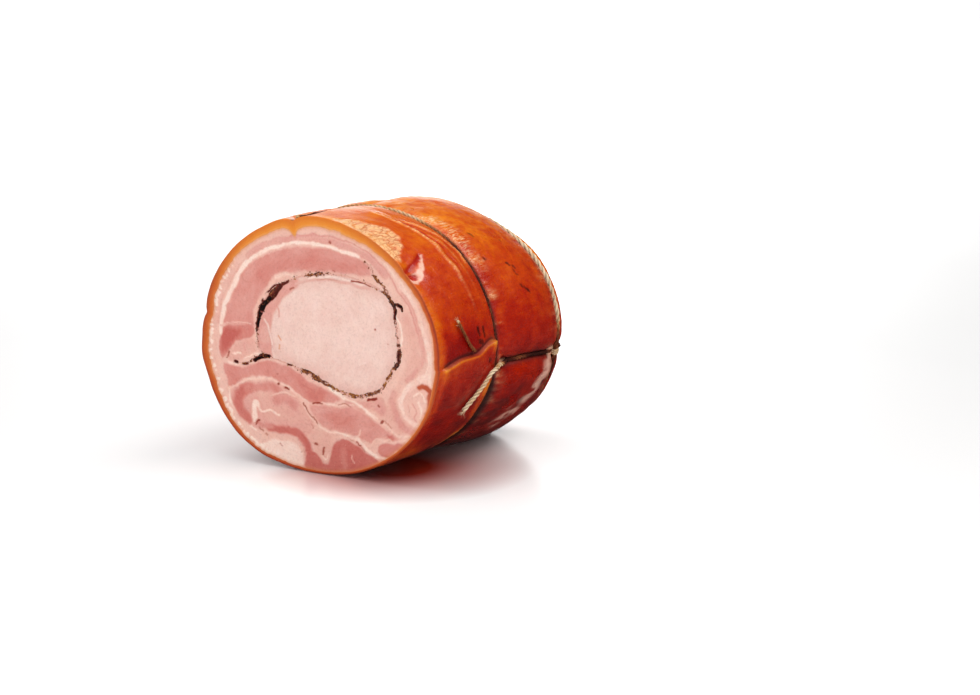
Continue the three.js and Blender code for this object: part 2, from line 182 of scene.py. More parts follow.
# The herb layer once round the loin, then its two tails: X, Z, width, darkness, cover
HERB_RING = [
    (-38.8, -3, 0.9, 0.5, 0.45),
    (-39.2, 4, 0.9, 0.7, 0.55),
    (-38.8, 9, 1.6, 0.8, 0.85),
    (-37, 15.5, 2.8, 0.9, 0.9),
    (-33.2, 22.3, 3.4, 0.9, 0.9),
    (-27.3, 28.6, 3.8, 0.85, 0.8),
    (-21.8, 32.8, 2.2, 0.8, 0.8),
    (-16, 36, 1.2, 0.5, 0.6),
    (-10, 38.2, 0.9, 0.4, 0.4),
    (-3, 39.9, 1.6, 0.6, 0.75),
    (4, 41, 1.7, 0.65, 0.7),
    (12, 41.6, 1.4, 0.6, 0.5),
    (22, 41, 1.2, 0.35, 0.45),
    (31, 39.4, 1, 0.5, 0.4),
    (40, 37, 1.4, 0.6, 0.5),
    (45, 34.4, 1.7, 0.7, 0.65),
    (49, 31.4, 2.2, 0.8, 0.8),
    (52.2, 26.8, 2.7, 1.0, 0.95),
    (52.2, 20.5, 1.6, 0.9, 0.8),
    (53.4, 14, 1.2, 0.7, 0.6),
    (54.6, 7.5, 2, 0.75, 0.8),
    (55.2, 1, 2.8, 0.9, 0.95),
    (53.4, -4, 2.7, 0.95, 0.95),
    (50.2, -8, 2, 0.5, 0.8),
    (47, -13, 2.5, 0.4, 0.8),
    (43.5, -18.2, 1.9, 0.6, 0.75),
    (37, -21.2, 2, 0.6, 0.8),
    (29, -23.6, 2, 0.6, 0.85),
    (22, -23.5, 2.2, 0.4, 0.85),
    (14, -21.5, 1.6, 0.4, 0.7),
    (7, -18.8, 2.4, 0.65, 0.85),
    (0, -16, 3.2, 0.7, 0.9),
    (-6, -14, 2.8, 0.7, 0.85),
    (-12, -12.4, 1.4, 0.5, 0.5),
    (-20, -10.2, 0.9, 0.5, 0.4),
    (-28, -8.7, 0.8, 0.4, 0.3),
    (-34.5, -7.4, 1.2, 0.6, 0.5),
]
LEFT_TAIL = [
    (-31, -7.5, 1.4, 1.0, 0.9),
    (-36, -8, 1.9, 1.0, 1.0),
    (-41, -10, 1.6, 0.9, 0.9),
    (-47, -12.9, 1.1, 0.5, 0.6),
    (-57, -13.4, 0.8, 0.3, 0.2),
]
RIGHT_TAIL = [
    (50, 29.8, 1.6, 0.7, 0.6),
    (47.5, 35, 1.5, 0.6, 0.6),
    (43, 39.4, 1.8, 0.6, 0.7),
    (39.5, 42.5, 1.9, 0.7, 0.8),
    (37.5, 47, 1.4, 0.45, 0.45),
    (33.5, 49.6, 1.1, 0.5, 0.6),
]
CLUMP = [(52.5, 28.4), (54.6, 28.6), (56.8, 27), (57, 25.6)]

# Gaps in the herb layer, nearly black with painted shade: width, depth, places in X and Z
HERB_GAPS = [
    (1.8, 1.0, [(-39, 8.4), (-38.1, 12), (-37.2, 15)]),
    (3.1, 1.0, [(-37.2, 15.6), (-35.8, 18.4), (-33, 22), (-30.4, 24.4)]),
    (2.5, 0.7, [(-30.6, 24.2), (-27, 26.6), (-24.9, 29.6), (-22.4, 32)]),
    (1.2, 0.6, [(-22.4, 32), (-19.6, 34), (-17, 35.3)]),
    (0.9, 0.6, [(-35, 22.8), (-32.6, 26.2), (-29.7, 29.4), (-26.6, 32.2), (-24, 32.8)]),
    (1.8, 1.0, [(-41.4, -11), (-38.3, -9.1), (-34.6, -8.4), (-31.4, -7.9)]),
    (1.5, 0.8, [(-55, -13.2), (-53.6, -13.5)]),
    (1.0, 0.6, [(-49.7, -13.9), (-46.4, -13.4)]),
    (0.9, 0.7, [(-18.1, -10.8), (-15.8, -11.3)]),
    (1.4, 0.75, [(54.6, 2), (54.4, -2.2)]),
    (1.3, 0.8, [(52.6, 25.6), (52.2, 21)]),
    (1.5, 0.9, [(54, 28.4), (56.2, 27.6)]),
]

# Pieces of meat left standing in the gaps: width, strength, places in X and Z
GAP_ISLANDS = [
    (2.1, 1.0, [(-31.4, 26.9), (-33.4, 24.4)]),
    (0.9, 0.8, [(-36.3, 16.9), (-35.4, 16.6)]),
]

# Shades of the cut meat, on a scale from dark lean at 0 to white fat at 1
LEAN = 0.4
FAT = 0.76
WHITE_FAT = 1.0

# Areas of the cut belly, each painted over the one before: shade, softness, outline in X and Z
MEAT_AREAS = {
    "upper_lean": (LEAN, 2.2, [
        (-62.5, 8), (-60.5, 14), (-57, 22), (-53.5, 30), (-48, 38), (-40, 44.5), (-30, 49.5),
        (-18, 52.7), (0, 55), (10, 54.8), (20, 53), (31, 50), (36, 46.5), (36.5, 42.5),
        (28, 42), (10, 43), (-6, 42), (-14, 40.5), (-20, 41), (-26, 38), (-32, 31.5),
        (-37, 25), (-41, 17), (-41.5, 8), (-50, 8.8),
    ]),
    "upper_lean_core": (0.33, 7, [
        (-40, 36), (-30, 44), (-15, 48.5), (5, 50), (20, 48.5), (28, 46), (18, 44), (-2, 44.5),
        (-16, 42.5), (-25, 41), (-33, 34),
    ]),
    "red_patch": (0.3, 1.6, [
        (-63.5, 4.5), (-57, 7.6), (-48, 8.4), (-41.5, 8), (-42, 3), (-49, 0), (-56, -4),
        (-61, -11), (-64, -12.5), (-65.8, -7), (-65.4, -1),
    ]),
    "red_patch_core": (0.0, 4, [
        (-63, 3), (-57, 5.6), (-50, 5.2), (-52, 1), (-57, -3), (-61, -8), (-63.6, -9),
        (-64.6, -4),
    ]),
    "left_pale_meat": (0.6, 2, [
        (-60, -9), (-53, -3.2), (-44, 1.5), (-40.5, 0), (-40, -7), (-48, -11.5), (-58, -12.6),
    ]),
    "under_tail_lean": (0.36, 1.8, [
        (-62.5, -15), (-55, -16), (-45, -14.5), (-38, -11.5), (-30, -10.5), (-20, -12),
        (-10, -15.4), (-3, -19), (6, -22.5), (16, -27), (10, -29.6), (-4, -29.8), (-13, -26),
        (-25, -20.6), (-37, -19.8), (-46, -21), (-53, -23.8), (-60, -28), (-62, -22),
    ]),
    "under_ring_lean": (0.25, 4, [(-12, -18), (-4, -21), (8, -25), (6, -28.4), (-4, -28)]),
    "arch": (0.6, 1.6, [
        (-58, -31), (-52, -25.8), (-45, -23), (-35, -21.8), (-27, -22.3), (-18, -25.5),
        (-11, -30), (-6, -36), (-2, -44), (-7, -50), (-20, -46), (-33, -47.5), (-40, -50.5),
        (-49, -46.5), (-56, -40.5),
    ]),
    "middle_lean": (0.46, 1.8, [
        (-3.5, -32), (4, -31.4), (16, -31), (25, -30.6), (33, -32.6), (40, -36.8), (47, -40.4),
        (55, -44), (50, -46), (43, -45.6), (36, -47.4), (30, -47), (23, -45), (14, -44.8),
        (7, -44.6), (2, -41),
    ]),
    "middle_lean_core": (0.3, 8, [(6, -35), (16, -34), (27, -36), (25, -42), (12, -42)]),
    "right_pale_meat": (0.64, 5, [
        (58, 24), (65, 18), (69, 6), (68, -3), (60, -8), (54, -15), (50, -24), (45, -30),
        (50, -36), (60, -41), (66, -38), (58, -34), (54, -26), (56, -16), (60, -6), (61, 8),
    ]),
    "low_right_lean": (0.3, 1.6, [
        (41, -50), (44, -47.8), (50, -48.2), (55, -46.6), (61, -46.4), (57, -51.5), (50, -54.8),
        (44, -54.4),
    ]),
    "low_right_red": (0.2, 1.6, [(46, -42.4), (51.5, -43.4), (51, -45), (47.5, -44.6)]),
    "lower_lobe": (0.13, 1.8, [
        (9.5, -60), (11, -55), (13.5, -51), (17.5, -48.8), (23, -48.9), (29, -51.6),
        (35, -55.4), (41, -57.4), (42, -60.5), (30, -68), (12, -72), (-4, -72), (-8, -66),
        (-5, -60), (-1, -59), (3, -63), (6.5, -64),
    ]),
    "lobe_light": (0.3, 3, [(17, -54), (19.5, -54), (20, -63), (18, -66), (16.5, -62)]),
    "low_left_pocket": (0.97, 2, [
        (-27, -54.4), (-19, -53.6), (-13, -55), (-9.6, -59), (-8.8, -66), (-14, -70),
        (-26, -67), (-38, -60), (-33, -56),
    ]),
    "pale_wedge": (0.7, 1.6, [
        (0, -45.5), (10, -48), (11, -53), (8, -60), (6, -62.4), (3.6, -61), (0, -57),
        (-5, -51.5),
    ]),
    "under_herbs": (0.52, 2.4, [
        (27, -26.2), (36, -25), (44, -22.6), (46.5, -27), (44.5, -33), (38, -29.8), (31, -28.2),
    ]),
    "right_pocket": (0.74, 1.5, [
        (62, -8), (68, -4), (73.5, 2), (76, -6), (75, -14), (70, -19), (71, -26), (70.5, -35),
        (64, -36), (58, -33), (55, -29), (54, -23), (56, -16),
    ]),
}

# Bands and lines of fat and lean on the cut belly: shade, width, softness, places in X and Z
MEAT_LINES = {
    "outer_fat_shade": (0.7, 4, 3, [
        (-69.5, -14), (-69.5, 2), (-67.8, 14), (-64.5, 24), (-58, 35), (-49, 45), (-38, 52.6),
    ]),
    "thin_outer_streak": (0.62, 1.2, 1.2, [
        (-66.4, 8), (-63.6, 20), (-58.4, 31), (-51, 40), (-45, 45.5),
    ]),
    "top_streak": (0.52, 3.6, 1.4, [
        (-44, 47.2), (-38, 51.4), (-30, 55), (-20, 57.6), (-10, 59.2), (2, 59.9), (12, 59.2),
        (22, 56.8), (32, 53), (40, 48.5), (46, 43.5),
    ]),
    "top_pink_line": (0.42, 1, 1.3, [
        (-14, 60.4), (0, 61.8), (10, 61.9), (20, 60.3), (30, 57), (40, 51.4), (46, 46.4),
        (51, 41), (56, 34.6), (61.5, 27), (66, 18.6), (69.2, 9), (71, 0),
    ]),
    "left_white_line": (WHITE_FAT, 2.9, 1.5, [
        (-64.4, 3), (-63, 12), (-60.2, 20), (-56.2, 29), (-51, 36.6), (-45, 42.8),
    ]),
    "top_white_line": (WHITE_FAT, 1.8, 1.2, [
        (-46, 42), (-38, 48), (-30, 51.8), (-20, 54.6), (-10, 56.6), (0, 57.2), (10, 56.3),
        (20, 54.2), (30, 51.8),
    ]),
    "right_pink_edge": (0.54, 2.8, 2, [
        (58, 35), (63, 28.6), (67, 21), (69.4, 13), (70.2, 5), (69.6, -1.6), (65.4, -6.8),
        (59.6, -11),
    ]),
    "pocket_pink": (0.5, 4.2, 2.4, [
        (51.8, -19), (51.2, -26), (53.4, -33), (58, -37.8), (63.6, -40), (67.4, -38.6),
    ]),
    "right_fat_strip": (0.87, 2.6, 1.2, [
        (46, 50.4), (54.4, 42.2), (62.2, 32.6), (68, 23), (72, 12), (73.8, 3), (74, -3.6),
        (72.8, -8.6),
    ]),
    "pocket_top": (0.86, 4.6, 1.8, [(60.6, -16), (64.6, -12.8), (69.6, -11.4), (74, -11.6)]),
    "pocket_border": (0.92, 2.8, 1.3, [
        (73.6, -8.4), (68.6, -9.6), (63, -12.8), (58.8, -16.6), (56.4, -21.4), (56.6, -26.8),
        (59, -31), (63.4, -34), (68, -34.8),
    ]),
    "pocket_inner_border": (0.95, 1.2, 0.9, [
        (63.6, -20.4), (67.4, -18), (70.4, -20), (71.2, -22.6),
    ]),
    "by_ring_line": (WHITE_FAT, 1.4, 0.9, [(53.8, 22), (56.2, 16), (57.4, 7)]),
    "patch_top_line": (0.74, 0.7, 0.7, [(-64, 6), (-57, 9.2), (-50, 9.7), (-43, 9.8)]),
    "arch_border": (0.97, 1.3, 0.9, [
        (-59, -29.5), (-58.6, -36), (-55, -42.6), (-48.6, -47.4), (-41, -51.4),
    ]),
    "arch_dark": (0.17, 6.2, 3.4, [
        (-46.5, -45), (-52.3, -41), (-54, -34.6), (-50.4, -29.2), (-45, -26.8),
    ]),
    "arch_top": (0.34, 4.6, 2.6, [(-48, -28), (-40, -25.6), (-32, -25), (-25, -26)]),
    "arch_inner_dark": (0.38, 5, 3.6, [(-27, -32), (-21, -30.8), (-14.5, -33.6)]),
    "wave": (0.1, 4.2, 2.2, [
        (-32, -48.6), (-25, -48), (-18, -47.8), (-11.5, -49.8), (-7, -54.5), (-4, -61), (-1, -66),
    ]),
    "wave_tail": (0.4, 3, 2.4, [(-38, -46.8), (-31, -47.6)]),
    "seam": (WHITE_FAT, 2.3, 1.2, [
        (10, -21.4), (15, -24), (20, -26.4), (27, -28.5), (35, -31.2), (41, -34.9),
    ]),
    "seam_shade": (0.5, 1.8, 2.2, [(20, -27.4), (26.6, -29.6), (32, -31.4)]),
    "seam_end": (0.9, 1.3, 1, [(40, -34.4), (48, -38.8), (55, -42.2), (63, -43.2)]),
    "arch_line": (0.88, 1, 0.8, [
        (-60, -29), (-52, -24.6), (-45, -21.9), (-37, -20.6), (-28, -21), (-18, -24.2),
        (-11, -27.6), (-4, -30.2),
    ]),
    "middle_line": (0.86, 0.9, 0.8, [(4, -30.3), (12, -30.4), (18, -29.7), (25, -29.1)]),
    "lower_seam": (0.94, 1.3, 0.9, [
        (-7, -33), (-3, -38.8), (2, -43), (8, -45.9), (15, -45.6), (22, -46.2), (28, -47.2),
    ]),
    "lower_seam_end": (0.98, 1.9, 1, [
        (27, -46.8), (31, -50), (36, -53.6), (42, -55.2), (49, -55), (54, -52),
    ]),
    "wiggle": (0.84, 0.9, 0.8, [
        (36, -48.6), (38.4, -46.2), (44, -46.9), (48, -45.2), (51, -47), (55, -45), (62, -44.4),
    ]),
    "branch": (0.84, 0.9, 0.8, [(24, -46.6), (27.6, -45.4), (29.6, -42.4)]),
    "blob_shade": (0.5, 6.5, 2.6, [(-42, -42), (-42, -38), (-40.4, -35.4)]),
    "blob": (WHITE_FAT, 4.2, 1.4, [(-42, -42.6), (-42.4, -39), (-41.3, -36), (-40, -35.8)]),
    "blob_foot": (0.96, 2, 1.2, [(-42.6, -42), (-42, -46)]),
    "blob_tail": (0.95, 1.5, 0.9, [
        (-39.6, -36.6), (-37.6, -39.2), (-34.2, -38.5), (-31.1, -37.6), (-28, -38.9), (-25, -40.4),
    ]),
    "arch_small_line": (0.8, 0.9, 0.8, [(-30, -30), (-25, -28), (-20, -27.4), (-14, -29)]),
    "pale_blob_left": (0.97, 1.6, 1.2, [(-55.5, -8.4), (-51, -7.6)]),
    "pale_blob_tail": (0.93, 2, 1.4, [(-59, -14), (-54, -15)]),
    "over_tail_line": (0.92, 1, 0.9, [(-48.5, -11.6), (-43, -8.4), (-38, -6.6)]),
    "wedge_tip": (0.97, 0.9, 0.7, [(3.2, -60.4), (5.6, -61.8), (7.4, -59)]),
    "lobe_flecks": (0.66, 0.7, 0.6, [(24, -56.8), (23.4, -59), (25.2, -61.4)]),
    "herb_side_pale": (0.9, 2.2, 1.8, [(-25, 37.4), (-20, 39), (-14, 38.8)]),
    "pocket_marks": (0.5, 0.9, 0.8, [(63, -24), (65.6, -27), (63.8, -30.4), (66, -32.4)]),
    "pocket_mark": (0.56, 0.8, 0.8, [(60.2, -24.6), (61.4, -28.4)]),
    "pocket_light": (0.9, 1.2, 0.9, [(67, -23), (68.6, -27), (67.4, -30.6)]),
}

# Dark slits and spots on the belly: width, strength, places in X and Z
MEAT_MARKS = [
    (1.0, 0.8, [(-59, -7.8), (-61, -11.6)]),
    (1.4, 0.9, [(-25.4, -22.4), (-24.6, -22.2)]),
    (1.2, 1.0, [(-20.6, -24), (-19, -24.3), (-17.8, -24.8)]),
    (1.0, 0.5, [(-25.8, -17), (-25.2, -17)]),
    (1.1, 1.0, [(-41.3, -47.2), (-40.3, -45.5), (-38.7, -44.8)]),
    (0.9, 0.7, [(-38.9, -48.9), (-36.4, -50.7)]),
    (1.0, 0.6, [(-34.3, -51.9), (-33.4, -52.6)]),
    (0.7, 0.7, [(-24.8, -56.3), (-22.7, -57.9)]),
    (0.9, 0.5, [(-10.2, -59.4), (-10, -59.2)]),
    (1.4, 0.8, [(-0.9, -53.3), (0.3, -53.6)]),
    (1.3, 0.8, [(5, -55.1), (4.4, -58.7)]),
    (0.9, 0.9, [(-8, -31.8), (-5.9, -34.6), (-3.6, -37.6)]),
    (0.8, 0.8, [(-3.4, -38), (-0.6, -39.7), (1.1, -42)]),
    (0.6, 0.5, [(-3.1, -43), (-1.9, -44.9)]),
    (0.9, 1.0, [(-1.6, -30.8), (0.8, -30.3), (4.4, -30.5)]),
    (0.6, 0.7, [(15.4, -30.2), (19, -28.8), (23.6, -29.9)]),
    (1.5, 1.0, [(34.6, -25), (40, -23.6)]),
    (1.3, 0.8, [(41.8, -27.8), (41, -27.2)]),
    (1.4, 0.8, [(43.2, -36.4), (44.3, -35.2)]),
    (0.5, 0.6, [(45.4, -35.4), (49.6, -38.7)]),
    (0.9, 0.9, [(26.8, -49.2), (29.6, -51)]),
    (0.7, 0.6, [(30, -51.6), (32.4, -53.8)]),
    (0.5, 0.5, [(22.4, -48.2), (25, -48.6)]),
    (0.8, 0.7, [(46, -54.9), (47.4, -54.7)]),
    (1.4, 0.7, [(11.2, 58.6), (11.6, 58.4)]),
    (0.8, 0.3, [(27.2, 58.5), (27.8, 58.2)]),
    (0.5, 0.25, [(-49.4, 36.4), (-47, 33.2), (-43, 32.6)]),
    (0.9, 0.6, [(12.8, 43.4), (14.2, 43.2)]),
    (0.9, 0.4, [(5.9, 43.4), (6.3, 43.2)]),
    (0.8, 0.3, [(-8, -58.4), (-8, -60.6)]),
]

# The loin's areas, lines, dark slits and orange flecks, as on the belly
LOIN_AREAS = {
    "left_part": (0.48, 2.4, [
        (-41, -10), (-42, 12), (-36, 24), (-24, 33), (-12, 38), (-10, 34), (-19, 27), (-26, 19),
        (-29, 11), (-29, -10),
    ]),
    "left_light": (0.6, 3, [(-36, 0), (-35, 8), (-31, 10), (-31, 0)]),
}
LOIN_LINES = {
    "seam": (0.92, 1.1, 0.9, [(-33.5, 13), (-31, 9.4), (-29.4, 4), (-28.6, -3), (-27, -8)]),
    "fold": (0.5, 1, 0.9, [(-28, 24), (-24.6, 20), (-24, 15)]),
    "top_line": (0.94, 1, 0.7, [(-4, 37.4), (4, 39), (12, 39.6), (22, 39), (34, 37.6)]),
    "top_edge": (0.62, 1.4, 1, [(-12, 34), (-2, 36.8), (10, 38), (22, 37.4), (36, 35.4)]),
    "nick": (1.0, 0.6, 0.5, [(30, -6.6), (32.4, -5.4), (33.8, -5.2)]),
}
LOIN_MARKS = [
    (0.6, 0.55, [(-29.2, -3.2), (-28.8, -1.6)]),
    (0.8, 0.5, [(-38.4, -1), (-37.8, -3.6)]),
    (1.0, 0.75, [(-16, 31.2), (-13.4, 32)]),
    (0.9, 0.8, [(39.3, 13.8), (39.8, 13.7)]),
    (0.8, 0.45, [(47.8, 7), (48.3, 7)]),
    (0.6, 0.35, [(28, 33.4), (28.4, 33.4)]),
    (0.9, 0.9, [(25, 38.7), (31, 38.6), (37, 36.8)]),
    (0.9, 0.9, [(34, 38.8), (38, 37.6), (41.4, 35.9)]),
    (0.35, 0.4, [(2, 37.6), (10, 38.6), (17, 38)]),
]
LOIN_ORANGE = [(0.9, 0.9, [(-24.3, 4.4), (-22.6, 2.2)]), (1.0, 0.9, [(-23.6, -0.6), (-24, -2.8)])]

# The fold of rind that turns in at the lower right, on the cut face
RIND_FOLD = [
    (4.4, 1.0, [(82, -14), (78.6, -16.6)]),
    (3.4, 1.0, [(80, -15.6), (77.1, -17.2), (74.6, -15.8), (71.9, -14)]),
    (3.0, 0.9, [(72.4, -14.2), (69.4, -13.6), (67.2, -14.4)]),
    (3.2, 0.85, [(77, -17), (74.6, -19.4), (74, -23), (73.6, -27.6)]),
    (2.2, 0.8, [(73.6, -28), (72, -29)]),
]

# What the photo shows on the skin: points in degrees round the roll and rows along it. Strokes are
# a width, a strength and points
# The pale patch is partly the skin's own pale colour and partly painted highlight
PALE_PATCH = [
    (80, -2), (79, 7), (74, 14), (68, 18.5), (62, 23), (56, 22), (50.5, 15), (47, 8), (44, 1),
    (46, -3), (60, -3), (70, -3),
]
TORN_PALE = [
    (44.2, 24), (41.4, 21), (37, 15.6), (33, 9.6), (31.6, 4), (32, 0.8), (35.6, 1.2), (36.6, 5),
    (37.4, 10), (39.6, 14.5), (42.2, 20),
]
TORN_RED = [(36.4, 1.8), (36.8, 6), (36, 8.8), (34.4, 8.4), (33.6, 5.6), (33.8, 2.6)]
TORN_STREAK = [(38, 1), (39.4, 7), (41.4, 14.5), (43.6, 21)]
WELTS = [
    (2.4, 1.0, [(80, 36), (64, 39.5), (50, 41), (36, 40.5), (14, 42.5)]),
    (1.9, 0.8, [(84, 40), (68, 43.5), (59.5, 50), (48, 55.2), (36, 55.8)]),
    (1.3, 0.5, [(54, 46.5), (42, 48.6), (30, 49), (14, 50)]),
]
WELT_GROOVES = [
    (2.0, 1.0, [(70, 41.4), (53, 44.6), (40, 44.8), (28, 44.2), (14, 45)]),
    (1.3, 0.7, [(62, 45.6), (52, 51), (40, 52.4), (24, 53)]),
]
# A painted reflection low beside the end ring: points along its middle
REFLECTED_BAND = [(-40, 90), (-33, 98), (-27, 106), (-21, 115), (-16, 122), (-12, 128), (-10, 132)]
RED_SPOTS = [
    (2.6, 0.7, [(71.6, 26), (70.6, 28.5)]),
    (2.0, 0.6, [(56, 27.5), (54, 24)]),
    (1.5, 0.6, [(39.6, 44), (38, 47)]),
    (3.0, 0.5, [(47, 52), (42, 50)]),
]
SKIN_MARKS = [
    (2.2, 1.0, [(8.8, 40.2), (6, 41)]),
    (1.9, 1.0, [(8.4, 45.8), (5, 46.4)]),
    (2.6, 0.9, [(3.6, 40), (2.8, 43.6)]),
    (1.9, 0.9, [(35.6, 73.6), (35.2, 74)]),
    (1.9, 1.0, [(31.8, 92.4), (30.8, 93.4)]),
    (1.8, 0.9, [(30, 96.6), (29.2, 97)]),
    (1.5, 0.8, [(28.2, 94.4), (27.6, 95)]),
    (1.5, 0.7, [(26.4, 95), (26, 95.4)]),
    (1.8, 0.9, [(21.4, 94), (20.8, 94.6)]),
    (1.6, 0.8, [(20.4, 96.6), (19.8, 97)]),
    (2.0, 1.0, [(19.2, 99.2), (18.4, 99.8)]),
    (1.6, 0.8, [(49.4, 79.6), (47.4, 80.4)]),
    (1.3, 0.6, [(44, 104), (43.4, 104.6)]),
    (1.8, 0.45, [(33.4, 126), (28.6, 128.4)]),
    (1.7, 0.4, [(27.4, 126.4), (22.4, 129.6)]),
    (1.6, 0.45, [(24, 131), (17, 132.4)]),
    (1.5, 0.4, [(20, 127), (12, 130)]),
]
FLAP_HOLE = [(2.0, 1.0, [(-4.4, 48.6), (-5, 50)])]

# Noise in layers: the amount, the size and the seed of each
FACE_NOISE = [(0.2, 17, 41), (0.09, 5, 42), (0.03, 1.5, 43)]
RAGGED_NOISE = [(0.1, 6, 45), (0.06, 1.8, 46)]
HERB_WANDER = [(0.45, 2.2, 51), (0.3, 0.9, 52)]
HERB_BREAKS = [(0.35, 2.6, 53), (0.2, 1.1, 54)]
HERB_GRAINS = [(0.26, 1.1, 82), (0.12, 0.7, 83)]
SKIN_SWELL = [(0.4, 24, 28), (0.26, 9, 29)]
SKIN_GRAIN = [(0.16, 4.4, 30), (0.08, 2.1, 31)]
WELT_BREAKS = [(0.45, 8, 36), (0.35, 2.4, 55)]
GATHERS = [(0.5, 3.4, 26), (0.5, 1.8, 27)]
BROWN_BLOTCHES = [(0.11, 17, 33), (0.08, 6, 34)]
BROWN_SPECKS = [(1, 2, 35), (0.5, 5, 40)]
BURNT_BLOTCHES = [(1.6, 5.5, 60), (0.7, 2, 62)]

# How far the tear's outline is moved by noise, round and along: the way, the noise's size, its seed
TORN_BEND = ((0.9, 2.2, 56), (0.7, 1.8, 57))

# The angle that the skin laid flat is measured from, and the way from one ripple to the next
SHEET_START = 30
RIPPLE_PITCH = 3.6

# Parts of the way along the roll and round it: the start, the way it takes to rise, the end, and
# the way it takes to fall
RIPPLE_ROWS = (34, 12, 60, 2)
RIPPLE_ANGLES = (58, 16, 128, 20)
BRUSHED_ANGLES = (28, 12, 84, 14)
GOLDEN_ANGLES = (-6, 30, 190, 40)
STRIP_ANGLES = (-100, 20, -9, 5)
FOOT_ANGLES = (-110, 20, -32, 16)
LOW_ANGLES = (-110, 20, -10, 10)
BURNT_ANGLES = (-120, 20, -10, 12)
LOW_REAR_ANGLES = (-85, 20, -6, 8)
DULL_ANGLES = (56, 20, 128, 20)
BEADED_ANGLES = (132, 25, 262, 16)
CLEAN_AND_LIT_MIDDLE = (42, 28, 136, 20)
CLEAN_END = (-4, 16, 84, 24)

# How brown the skin is by angle, and over the closed end; darker towards the underside, partly real
# browning and partly painted shade
BROWNING = [
    (-180, 0.72), (-140, 0.86), (-90, 1.0), (-25, 0.97), (-6, 0.9), (8, 0.78), (22, 0.68),
    (45, 0.55), (62, 0.42), (85, 0.34), (105, 0.28), (130, 0.36), (155, 0.55), (180, 0.72),
]
END_BROWNING = 0.62

# Colours by a share from 0 to 1: the share, then red, green and blue from 0 to 255
BELLY_COLOURS = [
    (0.0, 196, 96, 86), (0.25, 210, 126, 114), (0.5, 222, 158, 146), (0.7, 230, 178, 162),
    (0.85, 237, 192, 176), (1.0, 246, 216, 202),
]
LOIN_COLOURS = [
    (0.0, 196, 116, 98), (0.5, 222, 158, 146), (0.7, 226, 179, 166), (0.85, 235, 199, 187),
    (1.0, 244, 214, 203),
]
UNDER_HERBS_COLOURS = [(0.0, 190, 110, 92), (0.7, 222, 165, 150), (1.0, 238, 200, 186)]
HERB_COLOURS = [
    (0.0, 28, 12, 8), (0.3, 82, 36, 24), (0.5, 128, 64, 34), (0.7, 164, 102, 44),
    (1.0, 200, 144, 84),
]
BROWN_COLOURS = [
    (0.0, 234, 150, 46), (0.2, 226, 122, 16), (0.4, 212, 92, 2), (0.6, 194, 60, 0),
    (0.8, 170, 28, 0), (1.0, 140, 7, 0),
]
YELLOW_EDGE_COLOURS = [(0.0, 220, 116, 20), (0.25, 224, 122, 16), (0.7, 232, 140, 34), (1.0, 232, 158, 88)]
RUSSET_EDGE_COLOURS = [(0.0, 144, 28, 4), (0.3, 180, 52, 8), (0.7, 192, 74, 18), (1.0, 210, 114, 68)]
STAIN_COLOURS = [
    (0.0, 236, 212, 176), (0.3, 200, 152, 100), (0.6, 142, 78, 38), (0.85, 84, 26, 8),
    (1.0, 52, 12, 4),
]

# The floor's rings of faces, by their radius in metres, and its painted shadow and reflection of the roll,
# also in metres
FLOOR_SIDES = 96
FLOOR_RINGS = (60, 12, 1.2)
FLOOR_SHADE = {"middle": (0.028, -0.049, 0.0), "size": (0.044, 0.044, 1.0)}

# The picture, where the middle of the cut face falls in it, and the camera
IMAGE = (980, 695)
FACE_PIXEL = (314.66, 348.06)
CAMERA_AZIMUTH = 30.9
CAMERA_ELEVATION = 11
CAMERA_DISTANCE = 1.0304
CAMERA_FOCUS = 1900

# The light all round: amounts by how far a direction leans towards another
LIGHT_LEAN = (0, -0.58, 0.8)
WORLD_LIGHT = [(0.1, 0.04), (0.62, 1.24)]
MIRRORED_LEAN = (-0.533, 0.844, 0.05)
MIRRORED_LIGHT = [(0.955, 0.02), (0.987, 1.0)]

# Distant lights: where from, how strong, how many degrees wide, and their tint
SUNS = {
    "key": ((0.5, 0.3, 0.85), 1.15, 34, (1, 0.99, 0.97)),
    "fill": ((-0.3, 0.1, 0.9), 0.75, 44, (1, 1, 1)),
    "back": ((-0.52, 0.84, 0.14), 0.06, 10, (1, 1, 1)),
}

# Where the middle of the cut face is in the part's frame, in metres
BELLY_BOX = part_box("belly")
CENTRE = np.array([
    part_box("loin")[0].x + LOIN_LEFT * MM,
    BELLY_BOX[0].y,
    BELLY_BOX[0].z + REST_DEPTH * MM,
])


# Curves, noise and painted shapes


def bell(off, spread):
    """A bell curve: e to the power of minus the square of the distance off over the spread."""
    return np.exp(-((off / spread) ** 2))


def turn(start, end):
    """The angle from one direction to another, brought between -180 and 180."""
    return (end - start + 180) % 360 - 180


def smooth(value):
    """The value kept between 0 and 1, then 3 v squared less 2 v cubed."""
    share = np.clip(value, 0, 1)
    return share * share * (3 - 2 * share)


def span(value, start, rise, end, fall):
    """1 between two values: it rises from the first and falls towards the second over some way."""
    return smooth((value - start) / rise) * smooth((end - value) / fall)


def sector(angle, start, rise, end, fall):
    """1 between two angles round the roll, rising and falling as span does."""
    return smooth(turn(start, angle) / rise) * smooth(turn(angle, end) / fall)


def stacked(x, y, z):
    """Places from their coordinates, each an array or one number for all of them."""
    return np.stack(np.broadcast_arrays(x, y, z), axis=-1).astype(float)


def near_angle(angle, spot):
    """How near an angle is to a spot's, by a bell curve of the spot's spread."""
    return bell(turn(spot["angle"], angle), spot["spread"])


def unit(vectors):
    """Vectors brought to length 1."""
    return vectors / np.linalg.norm(vectors, axis=-1, keepdims=True)


def square_to(vectors, run):
    """What is left of vectors square to a unit direction, brought to length 1."""
    return unit(vectors - run * np.sum(vectors * run, -1, keepdims=True))


def run_along(line, closed):
    """The unit direction along a line at each of its places."""
    run = np.roll(line, -1, 0) - np.roll(line, 1, 0) if closed else np.gradient(line, axis=0)
    return unit(run)


